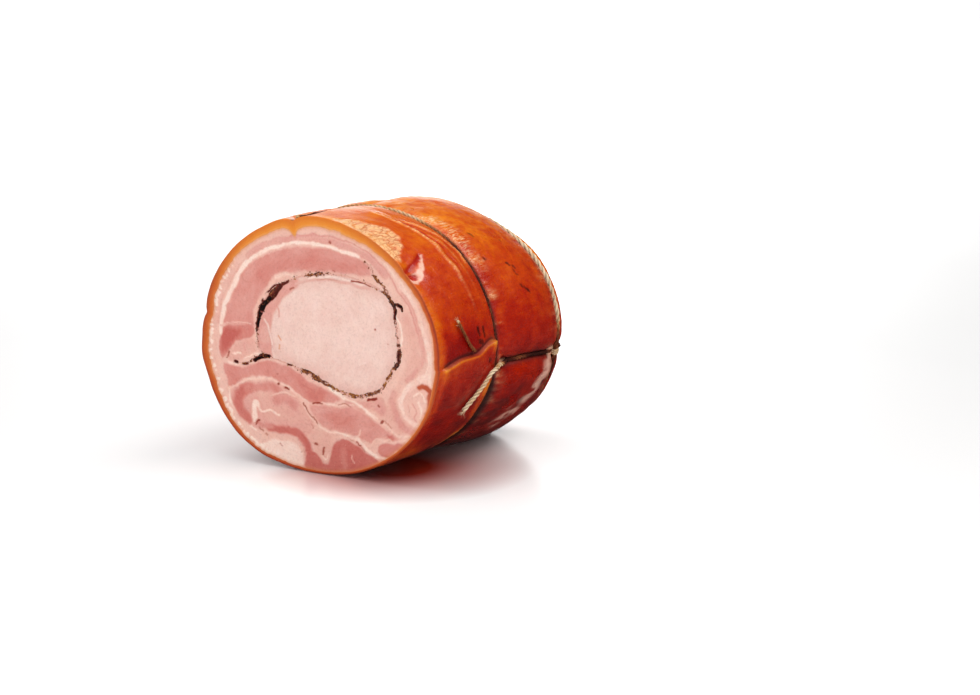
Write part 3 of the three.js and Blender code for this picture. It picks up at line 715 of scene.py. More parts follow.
def hashed(cell, seed):
    """A fixed value from -1 to 1 for each whole-number cell: its numbers times primes, mixed."""
    mixed = cell[..., 0] * 73856093 ^ cell[..., 1] * 19349663 ^ cell[..., 2] * 83492791
    mixed = (mixed ^ seed * 2654435761) & 0xFFFFFFFF
    mixed = (mixed ^ mixed >> 15) * 1274126177 & 0xFFFFFFFF
    return (mixed ^ mixed >> 16) % 65536 / 32767.5 - 1


def cloud(places, size, seed=0):
    """Soft noise from -1 to 1: the hashed values at a cell's eight corners, blended smoothly."""
    scaled = places / size
    cell = np.floor(scaled).astype(np.int64)
    share = smooth(scaled - cell)
    total = np.zeros(places.shape[:-1])
    for corner in np.ndindex(2, 2, 2):
        weight = np.prod(np.where(corner, share, 1 - share), axis=-1)
        total += weight * hashed(cell + np.array(corner), seed)
    return total


def clouds(places, layers):
    """Layers of noise added up: the amount, the size and the seed of each."""
    return sum(amount * cloud(places, size, seed) for amount, size, seed in layers)


def spline(points, step, closed=False):
    """Places about a step apart along a centripetal Catmull-Rom curve through the points."""
    knots = np.array(points, float)
    if closed:
        padded = np.vstack([knots[-1:], knots, knots[:2]])
    else:
        padded = np.vstack([2 * knots[0] - knots[1], knots, 2 * knots[-1] - knots[-2]])
    level = [padded[i:len(padded) - 3 + i, None] for i in range(4)]
    gaps = [np.linalg.norm(b - a, axis=-1) ** 0.5 for a, b in zip(level, level[1:])]
    times = [0 * gaps[0], gaps[0], gaps[0] + gaps[1], gaps[0] + gaps[1] + gaps[2]]
    time = times[1] + gaps[1] * np.linspace(0, 1, 24, endpoint=False)

    def between(a, b, start, end):
        share = ((time - start) / (end - start))[..., None]
        return a * (1 - share) + b * share

    for depth in (1, 2):
        level = [
            between(level[i], level[i + 1], times[i], times[i + depth]) for i in range(len(level) - 1)
        ]
    curve = between(*level, times[1], times[2]).reshape(-1, knots.shape[1])
    curve = np.vstack([curve, knots[:1] if closed else knots[-1:]])
    run = np.append(0, np.cumsum(np.linalg.norm(np.diff(curve, axis=0), axis=1)))
    count = max(2, round(run[-1] / step) + 1)
    stops = np.linspace(0, run[-1], count)
    if closed:
        stops = stops[:-1]
    return np.stack([np.interp(stops, run, axis) for axis in curve.T], axis=1)


def spaced(low, high, count, density):
    """Values from low to high, closer where the density is high: equal steps of its running sum."""
    fine = np.linspace(low, high, 6000)
    total = np.append(0, np.cumsum(density((fine[1:] + fine[:-1]) / 2)))
    return np.interp(np.linspace(0, total[-1], count), total, fine)


def distance(x, z, line):
    """The distance from each place to the nearest of a line's straight pieces, up to 20."""
    reach = 20
    nearest = np.full(x.shape, float(reach))
    low = line.min(0) - reach
    high = line.max(0) + reach
    near = (x > low[0]) & (x < high[0]) & (z > low[1]) & (z < high[1])
    px = x[near]
    pz = z[near]
    best = np.full(px.shape, float(reach))
    for (ax, az), (bx, bz) in zip(line[:-1], line[1:]):
        run_x = bx - ax
        run_z = bz - az
        share = ((px - ax) * run_x + (pz - az) * run_z) / max(run_x**2 + run_z**2, 1e-9)
        share = np.clip(share, 0, 1)
        best = np.minimum(best, np.hypot(px - ax - share * run_x, pz - az - share * run_z))
    nearest[near] = best
    return nearest


def stroke(x, z, points, width, soft):
    """A brushed line: 1 within half its width of a curve through the points, fading over soft."""
    return smooth(0.5 + (width / 2 - distance(x, z, spline(points, 1.2))) / soft)


def strongest(x, z, marks, soft):
    """Strokes laid over each other: the strongest at each place."""
    best = np.zeros(x.shape)
    for width, strength, points in marks:
        best = np.maximum(best, strength * stroke(x, z, points, width, soft))
    return best


def patch(x, z, points, soft):
    """A filled area: 1 inside a closed curve through the points, fading over soft at its edge.
    A place is inside where a ray from it crosses the curve an odd number of times."""
    edge = spline(points, 1.5, closed=True)
    edge = np.vstack([edge, edge[:1]])
    inside = np.zeros(x.shape, bool)
    for (ax, az), (bx, bz) in zip(edge[:-1], edge[1:]):
        if az != bz:
            crosses = (az > z) != (bz > z)
            inside ^= crosses & (x < (bx - ax) * (z - az) / (bz - az) + ax)
    return smooth(0.5 + np.where(inside, 1, -1) * distance(x, z, edge) / soft)


# The roll's skin, as in the solids


def outline(angle):
    """The cut face's outline: an oval, a little three-sided, as its distance from the centre."""
    oval = (FACE_WIDTH - FACE_HEIGHT) / (FACE_WIDTH + FACE_HEIGHT)
    sides = THREE_SIDED * np.cos(np.radians(3 * (angle - THREE_SIDED_ANGLE)))
    return MEAN_RADIUS * (1 + oval * np.cos(np.radians(2 * angle)) + sides)


def girth(y):
    """The girth along the roll: a straight taper with a bulge between the strings, which is a
    sine of a power of the share of the way, and a blunt dome to the end."""
    front = np.clip(y / MIDDLE_TIE, 0, 1)
    rear = np.clip((y - MIDDLE_TIE) / (END_TIE - MIDDLE_TIE), 0, 1)
    last = np.clip((y - END_TIE) / (LENGTH - END_TIE), 0, 1)
    near = FRONT_BULGE * np.maximum(0, np.sin(np.pi * front**1.5)) ** 0.7
    far = REAR_BULGE * np.maximum(0, np.sin(np.pi * rear**1.4)) ** 0.5
    swell = END_GIRTH + END_SWELL * np.sin(np.pi * np.minimum(1, 1.8 * last))
    return np.select(
        [y <= MIDDLE_TIE, y <= END_TIE],
        [
            1 + (MIDDLE_GIRTH - 1) * front + near,
            MIDDLE_GIRTH + (END_GIRTH - MIDDLE_GIRTH) * rear + far,
        ],
        swell * (1 - last**2) ** END_BLUNTNESS,
    )


def axis_height(y):
    """The axis drops by the square of the share of the way to the end string."""
    return -AXIS_DROP * np.clip((y - DROP_START) / (END_TIE - DROP_START), 0, 1) ** 2


def end_share(y):
    """The smooth share of the way over the closed end: 0 at the end string and 1 at the tip."""
    return smooth((y - END_TIE) / (LENGTH - END_TIE))


def seam_shift(row):
    """How far the seam's furrow has dropped at a row, in degrees."""
    return SEAM_DROP["angle"] * smooth((row - SEAM_DROP["start"]) / SEAM_DROP["over"])


def flap_angle(y):
    """The flap's edge: its angle at the cut face, and two smooth rises along the roll."""
    angle = FLAP_ANGLE
    for rise in (FLAP_RISE, FLAP_TIP):
        angle = angle + rise["angle"] * smooth((y - rise["start"]) / rise["over"])
    return angle


def flap_share(y):
    """1 along the flap, falling to 0 over its last few millimetres."""
    return smooth((FLAP_END + 3 - y) / 6)


def flap(angle, y):
    """The flap stands up at its edge and slopes away below it by an exponential. Its tip curls
    up, and its front edge lies a little behind the cut face."""
    beyond = turn(flap_angle(y), angle)
    under = smooth((FLAP_EDGE - beyond) / FLAP_EDGE) * np.exp(np.minimum(0, beyond) / FLAP_SLOPE)
    front = 1 - 0.75 * smooth((4 - y) / 1.6) * smooth((beyond + 18) / 8)
    tip = 1 + 0.7 * bell(y - 53, 4) * bell(beyond, 4)
    return FLAP_HEIGHT * under * flap_share(y) * front * tip


def rim_share(row):
    """The furrows are shallow at the cut rim."""
    return RIM_FURROW["share"] + (1 - RIM_FURROW["share"]) * smooth(row / RIM_FURROW["over"])


def furrow_middle(furrow, row):
    """The angle of a furrow's middle at a row."""
    return furrow["angle"] + (seam_shift(row) if furrow is SEAM_FURROW else 0)


def furrow_depth(angle, row, seam_start=0, slot=0):
    """Each lengthwise string presses a bell-shaped furrow, with a narrow slot of some depth in it.
    The seam's sets in behind the middle string, the others at the cut rim."""
    depth = 0
    for furrow in FURROWS:
        begun = rim_share(row)
        if furrow is SEAM_FURROW:
            begun = smooth((row - MIDDLE_TIE - seam_start) / 6)
        off = turn(furrow_middle(furrow, row), angle)
        wide = furrow["depth"] * bell(off, furrow["spread"])
        depth = depth + begun * (wide + slot * bell(off, SLOT_SPREAD))
    return depth * (1 - end_share(row))


def pinch(angle, row):
    """The rings of twine pinch the rind: a narrow trough in a wide one at each. The end ring's is
    deeper under the roll."""
    middle = 1.7 * bell(row - MIDDLE_TIE, 1.05) + 0.5 * bell(row - MIDDLE_TIE, 4)
    under = 1 + 0.9 * near_angle(angle, UNDER_SINK)
    return middle + under * bell(row - END_TIE, 1.5) + 0.5 * bell(row - END_TIE, 5)


def relief(angle, row):
    """Two sines round the roll, the corner of the cut rim, the dent, and the end's pleats."""
    lumps = np.sin(np.radians(2 * angle + 1.9 * row)) + np.sin(np.radians(5 * angle - 3.1 * row + 40))
    corner = CORNER["height"] * near_angle(angle, CORNER) * bell(row, 26)
    dent = DENT["depth"] * near_angle(angle, DENT) * bell(row - DENT["y"], DENT["spread"])
    pleats = PLEAT * np.cos(np.radians(PLEATS * angle)) * end_share(row)
    return LUMP * 0.5 * lumps + corner - dent + pleats


def place(angle, row, reach):
    """A place at a distance from the axis, no lower than the surface that the roll lies on.
    Rows near the middle string follow its wander."""
    wander = RING_WANDER["shift"] * near_angle(angle, RING_WANDER)
    y = row + wander * bell(row - MIDDLE_TIE, RING_WANDER["along"])
    x = reach * np.cos(np.radians(angle))
    z = np.maximum(axis_height(row) + reach * np.sin(np.radians(angle)), -REST_DEPTH)
    return stacked(x, y, z)


def outward(angle):
    """The unit direction away from the axis at an angle."""
    turned = np.radians(angle)
    return stacked(np.cos(turned), 0, np.sin(turned))


def smooth_skin(angle, row, lift=0):
    """A place on the rind as if it had no furrows, lifted outwards."""
    angle = np.asarray(angle, float)
    row = np.asarray(row, float)
    closing = np.minimum(1, girth(row) / END_GIRTH)
    reach = outline(angle) * girth(row) + (relief(angle, row) + flap(angle, row)) * closing
    return place(angle, row, reach) + outward(angle + 0 * row) * np.asarray(lift)[..., None]


def skin(angle, row, lift=0):
    """A place on the furrowed rind, lifted outwards."""
    angle = np.asarray(angle, float)
    pressed = furrow_depth(angle, np.asarray(row, float), 1, SLOT_DEPTH)
    return smooth_skin(angle, row, lift - pressed)


# Meshes


class Surface:
    """A grid of places, with shades and other values for each, made into a closed mesh."""

    def __init__(self, places, first=None, last=None, tube=False):
        """Rows of places, each row once round. The rows end in two poles, or meet in a ring."""
        self.places = places
        self.rows, self.around = places.shape[:2]
        self.poles = [] if tube else [
            places[0].mean(0) if first is None else first,
            places[-1].mean(0) if last is None else last,
        ]
        self.tube = tube
        self.values = {}

    def faces(self):
        """Four corners a face between neighbouring rows, and triangles round the poles."""
        steps = self.rows if self.tube else self.rows - 1
        row = np.arange(steps)[:, None]
        column = np.arange(self.around)[None, :]
        after = (column + 1) % self.around
        below = (row + 1) % self.rows
        corners = [row * self.around + column, row * self.around + after,
                   below * self.around + after, below * self.around + column]
        quads = np.stack(np.broadcast_arrays(*corners), axis=-1).reshape(-1, 4)
        triangles = np.zeros((0, 3), int)
        if not self.tube:
            ring = np.arange(self.around)
            ahead = (ring + 1) % self.around
            count = self.rows * self.around
            last = count - self.around
            first_fan = np.stack([ring * 0 + count, ahead, ring], axis=-1)
            last_fan = np.stack([ring * 0 + count + 1, last + ring, last + ahead], axis=-1)
            triangles = np.vstack([first_fan, last_fan])
        return quads, triangles


def six_volumes(points, quads, triangles):
    """Six times the volume: the triple product of each triangle's corners, summed."""
    halves = np.vstack([quads[:, [0, 1, 2]], quads[:, [0, 2, 3]], triangles])
    a, b, c = (points[halves[:, i]] for i in range(3))
    return np.einsum("ij,ij->", a, np.cross(b, c))


def joined_faces(surfaces):
    """The places, four-sided faces and triangles of several closed surfaces, turned outwards."""
    points = []
    quads = []
    triangles = []
    total = 0
    for surface in surfaces:
        own = np.vstack([surface.places.reshape(-1, 3), *[pole[None] for pole in surface.poles]])
        four, three = surface.faces()
        if six_volumes(own - own.mean(0), four, three) < 0:
            four = four[:, ::-1]
            three = three[:, ::-1]
        points.append(own)
        quads.append(four + total)
        triangles.append(three + total)
        total += len(own)
    return np.vstack(points), np.vstack(quads), np.vstack(triangles)


def joined_values(surfaces, key):
    """One of the values of several surfaces, for all their places. A pole has its row's mean."""
    parts = []
    for surface in surfaces:
        value = np.broadcast_to(surface.values.get(key, 0.0), surface.places.shape[:2])
        ends = [value[0].mean(), value[-1].mean()] if surface.poles else []
        parts.append(np.append(value.ravel(), ends))
    return np.concatenate(parts).astype(np.float32)


def mesh_piece(name, surfaces, finish):
    """One object of several closed surfaces with one finish, and their values as attributes.
    Places become metres in the part's frame here."""
    points, quads, triangles = joined_faces(surfaces)
    mesh = bpy.data.meshes.new(name)
    mesh.vertices.add(len(points))
    mesh.vertices.foreach_set("co", (points * MM + CENTRE).ravel())
    corners = np.concatenate([quads.ravel(), triangles.ravel()])
    starts = np.concatenate([np.arange(len(quads)) * 4, quads.size + np.arange(len(triangles)) * 3])
    mesh.loops.add(len(corners))
    mesh.loops.foreach_set("vertex_index", corners.astype(np.int32))
    mesh.polygons.add(len(starts))
    mesh.polygons.foreach_set("loop_start", starts.astype(np.int32))
    mesh.polygons.foreach_set("use_smooth", np.ones(len(starts), bool))
    for key in sorted({key for surface in surfaces for key in surface.values}):
        layer = mesh.attributes.new(key, "FLOAT", "POINT")
        layer.data.foreach_set("value", joined_values(surfaces, key))
    mesh.update(calc_edges=True)
    mesh.validate()
    mesh.materials.append(bpy.data.materials[finish])
    piece = bpy.data.objects.new(name, mesh)
    bpy.context.scene.collection.objects.link(piece)
    return piece


# The skin's fine relief and colour


def on_sheet(angle):
    """The skin laid flat: the length round it from SHEET_START."""
    return ARC * turn(SHEET_START, np.asarray(angle, float))


def sheet_points(points):
    """Points given by angle and row, on the skin laid flat."""
    return [(float(on_sheet(angle)), row) for angle, row in points]


def sheet_marks(marks):
    """Strokes given by angle and row, on the skin laid flat."""
    return [(width, strength, sheet_points(points)) for width, strength, points in marks]


def round_places(angle, row):
    """Places for noise: on a cylinder of the roll's mean radius."""
    turned = np.radians(angle)
    return stacked(MEAN_RADIUS * np.cos(turned), row, MEAN_RADIUS * np.sin(turned))


class SkinDetail:
    """Fine relief of the skin and what colours it, at angles and rows."""

    def __init__(self, angle, row):
        self.angle = angle
        self.row = row
        self.round = round_places(angle, row)
        self.sheet = on_sheet(angle)
        self.patch = self.area(PALE_PATCH, 3, (2, 4, 21), (1.2, 4, 22))
        self.torn_pale = self.area(TORN_PALE, 1, *TORN_BEND)
        self.torn_red = self.area(TORN_RED, 1, *TORN_BEND)
        self.streak = stroke(self.sheet, row, sheet_points(TORN_STREAK), 2.6, 2.4)
        self.spots = strongest(self.sheet, row, sheet_marks(RED_SPOTS), 1.6)
        self.marks = strongest(self.sheet, row, sheet_marks(SKIN_MARKS), 0.6)
        self.hole = strongest(self.sheet, row, sheet_marks(FLAP_HOLE), 1.2)

    def noise(self, size, seed, drawn=1):
        """Noise over the skin, drawn out along the roll where drawn is under 1."""
        return cloud(self.round * np.array([1, drawn, 1]), size, seed)

    def noises(self, layers, drawn=1):
        """Layers of noise over the skin, added up."""
        return clouds(self.round * np.array([1, drawn, 1]), layers)

    def moved(self, round_it, along_it):
        """Places on the skin laid flat, moved by noise: how far, its size and its seed, each way."""
        (far, size, seed), (long, length, other) = round_it, along_it
        return self.sheet + far * self.noise(size, seed), self.row + long * self.noise(length, other)

    def area(self, points, soft, round_it, along_it):
        """A filled area with an uneven edge."""
        return patch(*self.moved(round_it, along_it), np.array(sheet_points(points)), soft)

    def ripples(self):
        """Waves along the ring in front of the middle string, over the top: a sine of the row,
        bent by noise."""
        broken = 0.6 + 0.4 * self.noise(13, 25)
        wave = np.sin(2 * np.pi * (self.row + 2.6 * self.noise(15, 24)) / RIPPLE_PITCH)
        return wave * span(self.row, *RIPPLE_ROWS) * sector(self.angle, *RIPPLE_ANGLES) * broken

    def welts(self):
        """Ridges with grooves between them in front of the middle string, bent and broken up by
        noise."""
        s, r = self.moved((1.4, 9, 23), (1.3, 7, 24))
        r = r + 0.5 * self.noise(2.6, 54)
        broken = 0.75 + self.noises(WELT_BREAKS)
        ridges = strongest(s, r, sheet_marks(WELTS), 1.6)
        grooves = strongest(s, r, sheet_marks(WELT_GROOVES), 1.6)
        return broken * (ridges - grooves) * smooth(turn(12, self.angle) / 34)

    def puckers(self):
        """Gathers across each ring of twine: noise drawn out along the roll."""
        gathers = self.noises(GATHERS, 0.2)
        before_end = bell(np.minimum(0, self.row - END_TIE), 13) * (self.row < END_TIE)
        near = bell(self.row - MIDDLE_TIE - 3, 5) + 1.3 * before_end + 0.6 * end_share(self.row)
        return gathers * near

    def brushed(self):
        """Where the skin behind the middle string has fine streaks along the roll, made pale by painted
        glints.
        """
        where = bell(self.row - 65.5, 6) * sector(self.angle, *BRUSHED_ANGLES)
        return where * smooth(0.55 + 0.8 * self.noise(7, 38))

    def fine(self):
        """The finer relief alone: noise of three sizes, and the patterns above. The pale patch has
        low folds, which are noise drawn out along the roll."""
        dimples = 0.5 + 0.5 * smooth(turn(24, self.angle) / 26) * smooth((self.row - 60) / 6)
        grain = self.noises(SKIN_GRAIN)
        folds = self.patch * self.noise(3, 32, 0.5)
        return (
            dimples * grain + 0.3 * self.ripples() + 0.6 * self.welts() + 0.42 * self.puckers()
            + 0.1 * self.brushed() + 0.3 * folds
        )

    def height(self):
        """Noise of two sizes, the fine relief, and the tear, the hole and the marks."""
        tear = 0.8 * self.torn_red + 0.6 * self.streak - 0.1 * self.torn_pale
        return self.noises(SKIN_SWELL) + self.fine() - tear - 1.2 * self.hole - 0.3 * self.marks

    def browning(self):
        """How brown the skin is: by the angle, darker towards the underside partly as painted shade, made
        uneven by noise, paler on what stands up as painted highlight, paler at the rim, over the end and
        by the underside's rings with a painted lit strip by the middle string, darker in the tear."""
        angle = self.angle
        row = self.row
        brown = np.interp(turn(0, angle), *np.array(BROWNING).T)
        brown = brown + (END_BROWNING - brown) * end_share(row) + self.noises(BROWN_BLOTCHES)
        upper_rear = smooth(turn(32, angle) / 20) * smooth((row - 64) / 10)
        brown = brown + upper_rear * (0.15 * self.noises(BROWN_SPECKS) - 0.09)
        golden = sector(angle, *GOLDEN_ANGLES) * (1 - 0.8 * end_share(row))
        brown = brown - 0.3 * smooth((row - END_TIE - 1) / 4) * golden
        # Browner on the spots and the tear's streak; paler where the fine relief stands up, a painted
        # highlight
        brown = brown + 0.1 * self.spots + 0.36 * self.streak - 0.45 * self.fine()
        brown = brown - 0.24 * smooth((9 - row) / 7)
        # A painted lit strip: low on the right, just before the middle string, its lip paler as if lit
        # from the right
        strip = smooth((row - 42 + 3.5 * self.noise(8, 58)) / 9) * smooth((61 - row) / 3)
        brown = brown - (0.42 + 0.3 * self.noise(4, 59)) * strip * sector(angle, *STRIP_ANGLES)
        foot = sector(angle, *FOOT_ANGLES) * smooth((58 - row) / 6)
        return brown - foot * (0.3 + 0.3 * self.noise(7, 44)) + self.flap_light_and_shade()

    def flap_light_and_shade(self):
        """The flap is paler at its edge and just below the edge, a painted highlight, and at its tip; the
        skin just above it is browner, a painted shadow."""
        row = self.row
        beyond = turn(flap_angle(row), self.angle)
        edge = bell(beyond + 0.1, 0.75) * flap_share(row) * smooth((row - 2.4) / 1.5)
        tip = bell(row - 53.5, 3.4) * bell(beyond + 1.6, 2.6)
        below = np.clip(-beyond, 0, 30) * flap_share(row) * (beyond < 0)
        above = bell(beyond - 5, 6) * (beyond > 0) * span(row, 5, 6, 44, 10)
        # Painted highlight at the flap's edge and just below it; painted shadow on the skin just above it
        return 0.24 * above - 0.45 * edge - 0.42 * tip - 0.14 * bell(below - 1.5, 5) * (below > 0)

    def creases(self):
        """How dark the painted shade is in the creases under the strings and behind the flap's edge, and
        the browner blotches low on the right side."""
        row = self.row
        low = sector(self.angle, *LOW_ANGLES)
        tied = bell(row - MIDDLE_TIE - 1.6 * low, 1.15 + 2.6 * low)
        tied = tied * (1 - 0.5 * sector(self.angle, *CLEAN_AND_LIT_MIDDLE))
        crease = np.maximum(tied, 0.95 * bell(row - END_TIE + 0.7, 1.9))
        for furrow in FURROWS:
            begun = smooth((row - MIDDLE_TIE - 1) / 4) if furrow is SEAM_FURROW else 1
            off = turn(furrow_middle(furrow, row), self.angle)
            crease = np.maximum(crease, begun * bell(off, 1.7) * (1 - 0.6 * end_share(row)))
        beyond = turn(flap_angle(row), self.angle)
        step = bell(beyond - 1.1, 0.9) * flap_share(row) * smooth((row - 3) / 3)
        burnt = smooth(self.noises(BURNT_BLOTCHES, 0.5) - 0.25)
        burnt = burnt * sector(self.angle, *BURNT_ANGLES) * (0.3 + 0.14 * smooth((row - 56) / 8))
        return np.maximum(np.maximum(crease, 0.75 * step), burnt)

    def reflected_band(self):
        """A painted reflection: the pale strip low beside the end ring, broken up by noise."""
        moved = self.moved((2, 5, 52), (2, 4, 53))
        band = stroke(*moved, sheet_points(REFLECTED_BAND), 11, 8)
        return band * smooth(0.62 + 1.5 * self.noise(3.4, 51, 0.5))

    def values(self):
        """How brown, pale, raw, marked and wet the skin is; its painted highlights, painted glints and
        painted shade in the creases; its patch of cells, partly pale and partly painted highlight; and its
        tear, with the painted reflection low beside the end ring.
        """
        welts = np.maximum(0, self.welts())
        ripples = np.maximum(0, self.ripples())
        gathers = np.maximum(0, self.puckers())
        low_rear = sector(self.angle, *LOW_REAR_ANGLES)
        low_rear = low_rear * smooth((self.row - 66) / 8) * (self.row < END_TIE + 6)
        gloss = low_rear * smooth(0.2 + 1.3 * self.noise(5, 48, 0.35))
        # The pale on the welts, ripples and gathers and on the ridge low before the end ring is painted
        # highlight
        ridge_highlight = low_rear * bell(self.row - END_TIE + 5, 3) * smooth(0.7 + self.noise(5, 49))
        pale = np.maximum(0.5 * welts, 0.4 * ripples)
        dull = sector(self.angle, *DULL_ANGLES) * smooth((self.row - 72) / 12)
        wet = 0.2 + 0.4 * self.patch + 0.5 * self.brushed() + 0.5 * welts + 0.5 * ripples + 0.7 * gloss
        return {
            "brown": self.browning(),
            "pale": np.maximum(np.maximum(pale, 0.3 * gathers), 0.75 * ridge_highlight),
            "bare": self.patch,
            "streaked": np.maximum(0.9 * self.brushed(), np.maximum(0.6 * welts, 0.6 * gathers)),
            "raw": np.maximum(self.torn_red, 0.5 * self.streak),
            "torn": np.maximum(self.torn_pale * (1 - self.torn_red), 0.95 * self.reflected_band()),
            "crease": self.creases(),
            "mark": np.maximum(self.marks, 0.8 * self.hole),
            "wet": wet + 0.3 * self.torn_red - 0.5 * dull,
        }


# The rind


def rind_thickness(angle):
    """The thickness of the rind on the cut face, between the measured angles."""
    angles, thickness, _ = np.array(RIND_EDGE).T
    knuckle = RIND_KNUCKLE["depth"] * near_angle(angle, RIND_KNUCKLE)
    return np.interp(np.mod(angle, 360), angles, thickness, period=360) + knuckle


def rind_yellow(angle):
    """How yellow the rind's cut edge is, between the measured angles. It is yellowest over the top, partly
    the rind's own colour and partly painted light shining through it.
    """
    angles, _, yellow = np.array(RIND_EDGE).T
    return np.interp(np.mod(angle, 360), angles, yellow, period=360)


def on_face(x, z):
    """Places in the plane of the cut face."""
    return stacked(x, 0, z)


def face_relief(x, z):
    """The cut face isn't quite flat: noise of three sizes, outwards."""
    return clouds(on_face(x, z), FACE_NOISE)


def column_angles(columns, row):
    """Columns near the seam follow the flap's edge and then the seam string."""
    by_flap = bell(turn(FLAP_ANGLE, columns), 14)
    by_seam = bell(turn(SEAM_FURROW["angle"], columns), 14)
    along_flap = turn(FLAP_ANGLE, flap_angle(row)) * flap_share(row) * by_flap
    return columns + along_flap + seam_shift(row) * by_seam


def column_density(angle):
    """Columns lie closer at the flap's edge, over the upper right, and in the furrows."""
    in_furrows = sum(0.9 * bell(turn(furrow["angle"], angle), 3) for furrow in FURROWS)
    return 0.9 + 2.2 * bell(angle - FLAP_ANGLE - 0.4, 1.6) + 1.1 * bell(angle - 48, 38) + in_furrows


def row_density(row):
    """Rows lie closer near the face, at the rings of twine, and by the welts."""
    at_ties = 3.4 * bell(row - MIDDLE_TIE, 2.2) + 2.6 * bell(row - END_TIE, 2.6)
    return 1 + 0.9 * smooth((30 - row) / 6) + at_ties + 0.5 * bell(row - 50, 9)


COLUMNS = spaced(-180, 180, 541, column_density)[:-1]
ROWS = spaced(0.7, END_TIE + 4, 142, row_density)
DOME_SHARES = 1 - (1 - np.linspace(0.11, 0.985, 18)) ** 1.5
DOME_ROWS = END_TIE + (LENGTH - END_TIE) * np.sin(DOME_SHARES * np.pi / 2)


def rim_reach(angle):
    """How far the skin is from the axis at the cut face, furrows and fine relief included."""
    detail = SkinDetail(angle, np.zeros_like(angle))
    at = skin(angle, np.zeros_like(angle), detail.height() * 0.6)
    return np.hypot(at[..., 0], at[..., 2])


def ragged_inner_edge(angle, reach):
    """Where the rind ends on the cut face: its thickness less a little noise."""
    return reach - rind_thickness(angle) * (1 + clouds(round_places(angle, 0), RAGGED_NOISE))


def across_face(reach, angle):
    """X and Z at a distance from the middle of the face, no lower than the rest surface."""
    turned = np.radians(angle)
    return reach * np.cos(turned), np.maximum(reach * np.sin(turned), -REST_DEPTH)


def nodule_height(x, z, reach, inner):
    """The row of small white beads on the inner side of the rind, on the left: noise drawn out
    towards the middle, within 2 mm of the rind's inner edge."""
    angle = np.degrees(np.arctan2(z, x))
    beads = cloud(stacked(ARC * angle, 0, 0.45 * (reach - inner)), 1.25, 47)
    within = bell(reach - inner + 0.9, 1.5)
    return 0.6 * sector(angle, *BEADED_ANGLES) * np.maximum(0, beads + 0.12) * within


def shell_inside(inner):
    """The inside of the rind from its tip to the cut face."""
    rows = np.array(SHELL_ROWS)
    skin_reach = outline(COLUMNS)[None] * girth(rows)[:, None]
    reach = skin_reach - SHELL - SHELL_END * end_share(rows)[:, None]
    reach[-1] = inner
    reach[-2] = inner * 0.5 + reach[-2] * 0.5
    return place(COLUMNS[None], rows[:, None], reach), {"brown": 0.8}


def cut_band(inner, rim):
    """The rind's cut edge, from the meat outwards."""
    share = np.linspace(0, 1, 9)[:, None]
    reach = inner + (rim - RIM_ROUNDING - inner) * share
    x, z = across_face(reach, COLUMNS)
    y = -face_relief(x, z) - nodule_height(x, z, reach, inner)
    values = {"cut": 1, "cut_depth": 1 - share + 0 * x, "yellow": rind_yellow(COLUMNS), "brown": 0.5}
    return stacked(x, y, z), values


def rounded_rim(rim):
    """Two rows round the rim's corner: how far out, how far back, and how cut they look."""
    quarter, back, cut = (column[:, None] for column in np.array(RIM_ROWS).T)
    x, z = across_face(rim - RIM_ROUNDING + RIM_ROUNDING * np.sin(quarter * np.pi / 2), COLUMNS)
    detail = SkinDetail(np.broadcast_to(COLUMNS, x.shape), 0 * x)
    values = {**detail.values(), "cut": cut, "yellow": rind_yellow(COLUMNS)}
    return stacked(x, back - face_relief(x, z), z), values


def outer_skin():
    """The skin along the roll and over the closed end."""
    rows = np.concatenate([ROWS, DOME_ROWS])[:, None]
    angle = column_angles(COLUMNS[None], rows)
    row = np.broadcast_to(rows, angle.shape)
    detail = SkinDetail(angle, row)
    closing = np.minimum(1, girth(row) / END_GIRTH)
    settle = 1 - 0.4 * smooth((4 - row) / 4)
    lift = detail.height() * closing * settle - pinch(angle, row) * (row < END_TIE + 12)
    places = skin(angle, row, lift)
    places[..., 2] = np.maximum(places[..., 2], -REST_DEPTH)
    return places, detail.values()


def rind_surface():
    """The rind as a shell: its inside from the tip to the cut face, the cut band outwards, a
    rounded rim, the skin along the roll, and the closed end."""
    rim = rim_reach(COLUMNS)
    inner = ragged_inner_edge(COLUMNS, rim)
    parts = [shell_inside(inner), cut_band(inner, rim), rounded_rim(rim), outer_skin()]
    surface = Surface(
        np.concatenate([places for places, _ in parts]),
        first=np.array([0, SHELL_TIP, axis_height(SHELL_TIP)]),
        last=np.array([0, LENGTH - 0.4, axis_height(LENGTH)]),
    )
    for key in {key for _, values in parts for key in values}:
        surface.values[key] = np.concatenate([
            np.broadcast_to(values.get(key, 0.0), places.shape[:2]) for places, values in parts
        ])
    return surface


# The cut face of the meat


RING_LINE = spline(HERB_RING, 1.0, closed=True)
TAIL_LINES = [spline(LEFT_TAIL, 1.0), spline(RIGHT_TAIL, 1.0)]


def nearest_on(x, z, line):
    """The distance to a line of places that carry further numbers, and those numbers at the
    nearest place of the line."""
    best = np.full(x.shape, 1e9)
    carried = np.zeros(x.shape + (line.shape[1] - 2,))
    for start, end in zip(line[:-1], line[1:]):
        run = end[:2] - start[:2]
        share = ((x - start[0]) * run[0] + (z - start[1]) * run[1]) / max(run @ run, 1e-9)
        share = np.clip(share, 0, 1)
        away = np.hypot(x - start[0] - share * run[0], z - start[1] - share * run[1])
        closer = away < best
        best = np.where(closer, away, best)
        numbers = start[2:] + share[..., None] * (end[2:] - start[2:])
        carried = np.where(closer[..., None], numbers, carried)
    return best, carried


